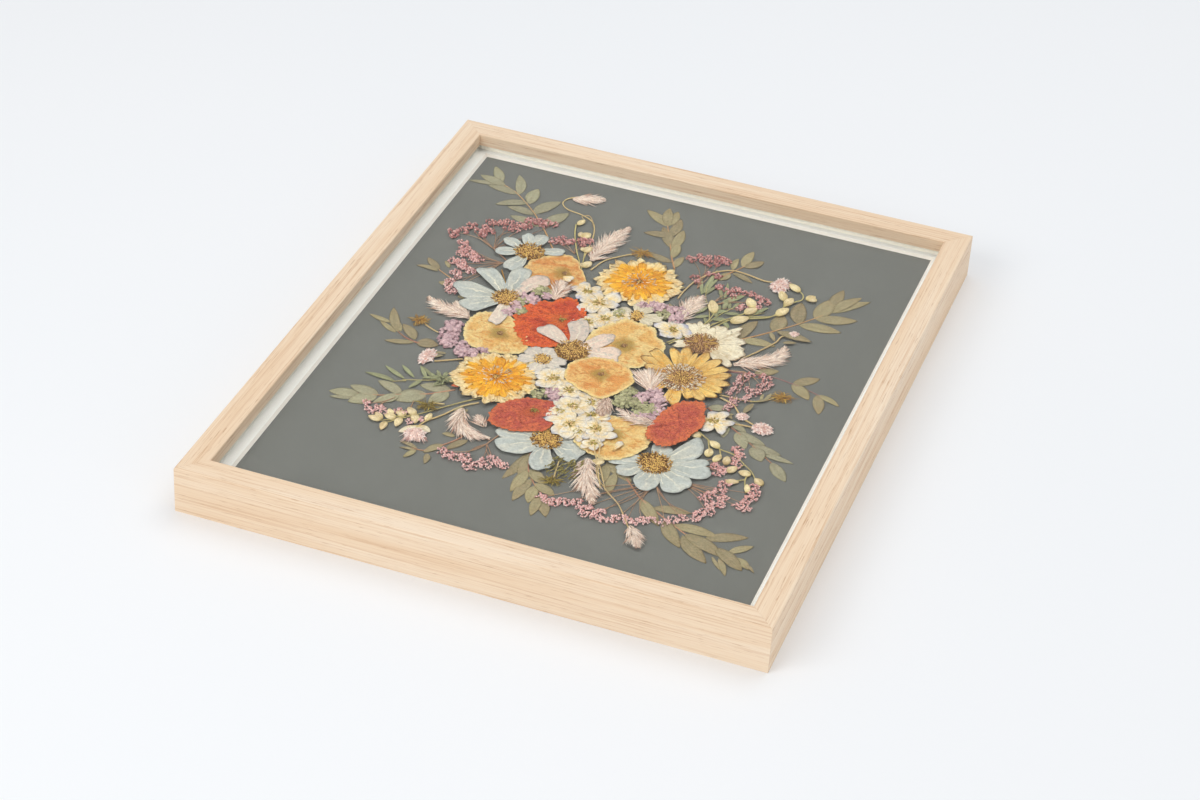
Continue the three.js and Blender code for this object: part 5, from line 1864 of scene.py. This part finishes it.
made = Specimen(2.6, 325)
tips = np.array([-97, -71]) + made.random.normal(0, 1, (90, 2)) * [4.5, 3.6]
feet = np.array([-96, -71]) + (tips - [-96, -71]) * 0.4
tufts(made, feet, tips, FERN)
feet, tips = [(-83, -75), (-83, -73)], [(-89, -75), (-87, -71)]
scrap = blades(feet, tips, [3.5, 3], petal_width, teeth=0.2, arch=0.4)
made.sheet(scrap + [0, 0, 0.6], RED_SHEET, {1: [0.6, 0.7]})
made.lay("loose_fluff", "celosia")

# ---------------------------------------------------------------- table, lamps and camera

table = bpy.data.meshes.new("table")
table.from_pydata([(-4, -4, 0), (4, -4, 0), (4, 4, 0), (-4, 4, 0)], [], [(0, 1, 2, 3)])
bench = Finish("Pale table", 0.75)
clouds = bench.noise(bench.place(), 1.5, 2)
bench.give("Base Color", bench.mix(clouds, (243, 246, 249), (247, 248, 250)))
table.materials.append(bench.material)
table_top = show("table", table)

world = bpy.data.worlds.new("Studio")
world.use_nodes = True
background = world.node_tree.nodes["Background"].inputs
background["Color"].default_value = (0.965, 0.98, 1.0, 1)
background["Strength"].default_value = 0.64
bpy.context.scene.world = world


def faced(right, up, ahead, place):
    """Where a lamp or a camera stands that looks ahead."""
    turn = Matrix(np.column_stack([right, up, np.negative(ahead)]).tolist()).to_4x4()
    turn.translation = place
    return turn


def soft_box(name, place, width, height, watts, colour):
    """A rectangular lamp that faces the middle of the frame and isn't mirrored in the glass."""
    lamp = bpy.data.lights.new(name, "AREA")
    lamp.shape, lamp.size, lamp.size_y = "RECTANGLE", width, height
    lamp.energy, lamp.color = watts, colour
    ahead = np.negative(place)
    ahead = ahead / np.linalg.norm(ahead)
    right = np.cross(ahead, [0, 0, 1])
    right /= np.linalg.norm(right)
    holder = show(name, lamp)
    holder.matrix_world = faced(right, np.cross(right, ahead), ahead, place)
    holder.visible_glossy = False


soft_box("window", (-1.1, -1.9, 1.7), 1.8, 1.3, 24, (1.0, 0.99, 0.97))
soft_box("fill", (1.6, -1.2, 0.6), 1.4, 0.8, 2.5, (1.0, 0.98, 0.95))
soft_box("overhead", (0.35, 0.7, 2.1), 1.5, 1.5, 12, (1.0, 0.985, 0.96))

camera = bpy.data.cameras.new("camera")
camera.lens, camera.sensor_width, camera.sensor_fit = 87.94, 36, "HORIZONTAL"
eye_point = show("camera", camera)
eye_point.matrix_world = faced(
    (0.937905, 0.342804, 0.053109), (-0.237636, 0.523394, 0.818284), (-0.252714, 0.780093, -0.572356),
    (0.556406, -1.712619, 1.242808),
)
bpy.context.scene.camera = eye_point
bpy.context.scene.view_settings.view_transform = "Standard"
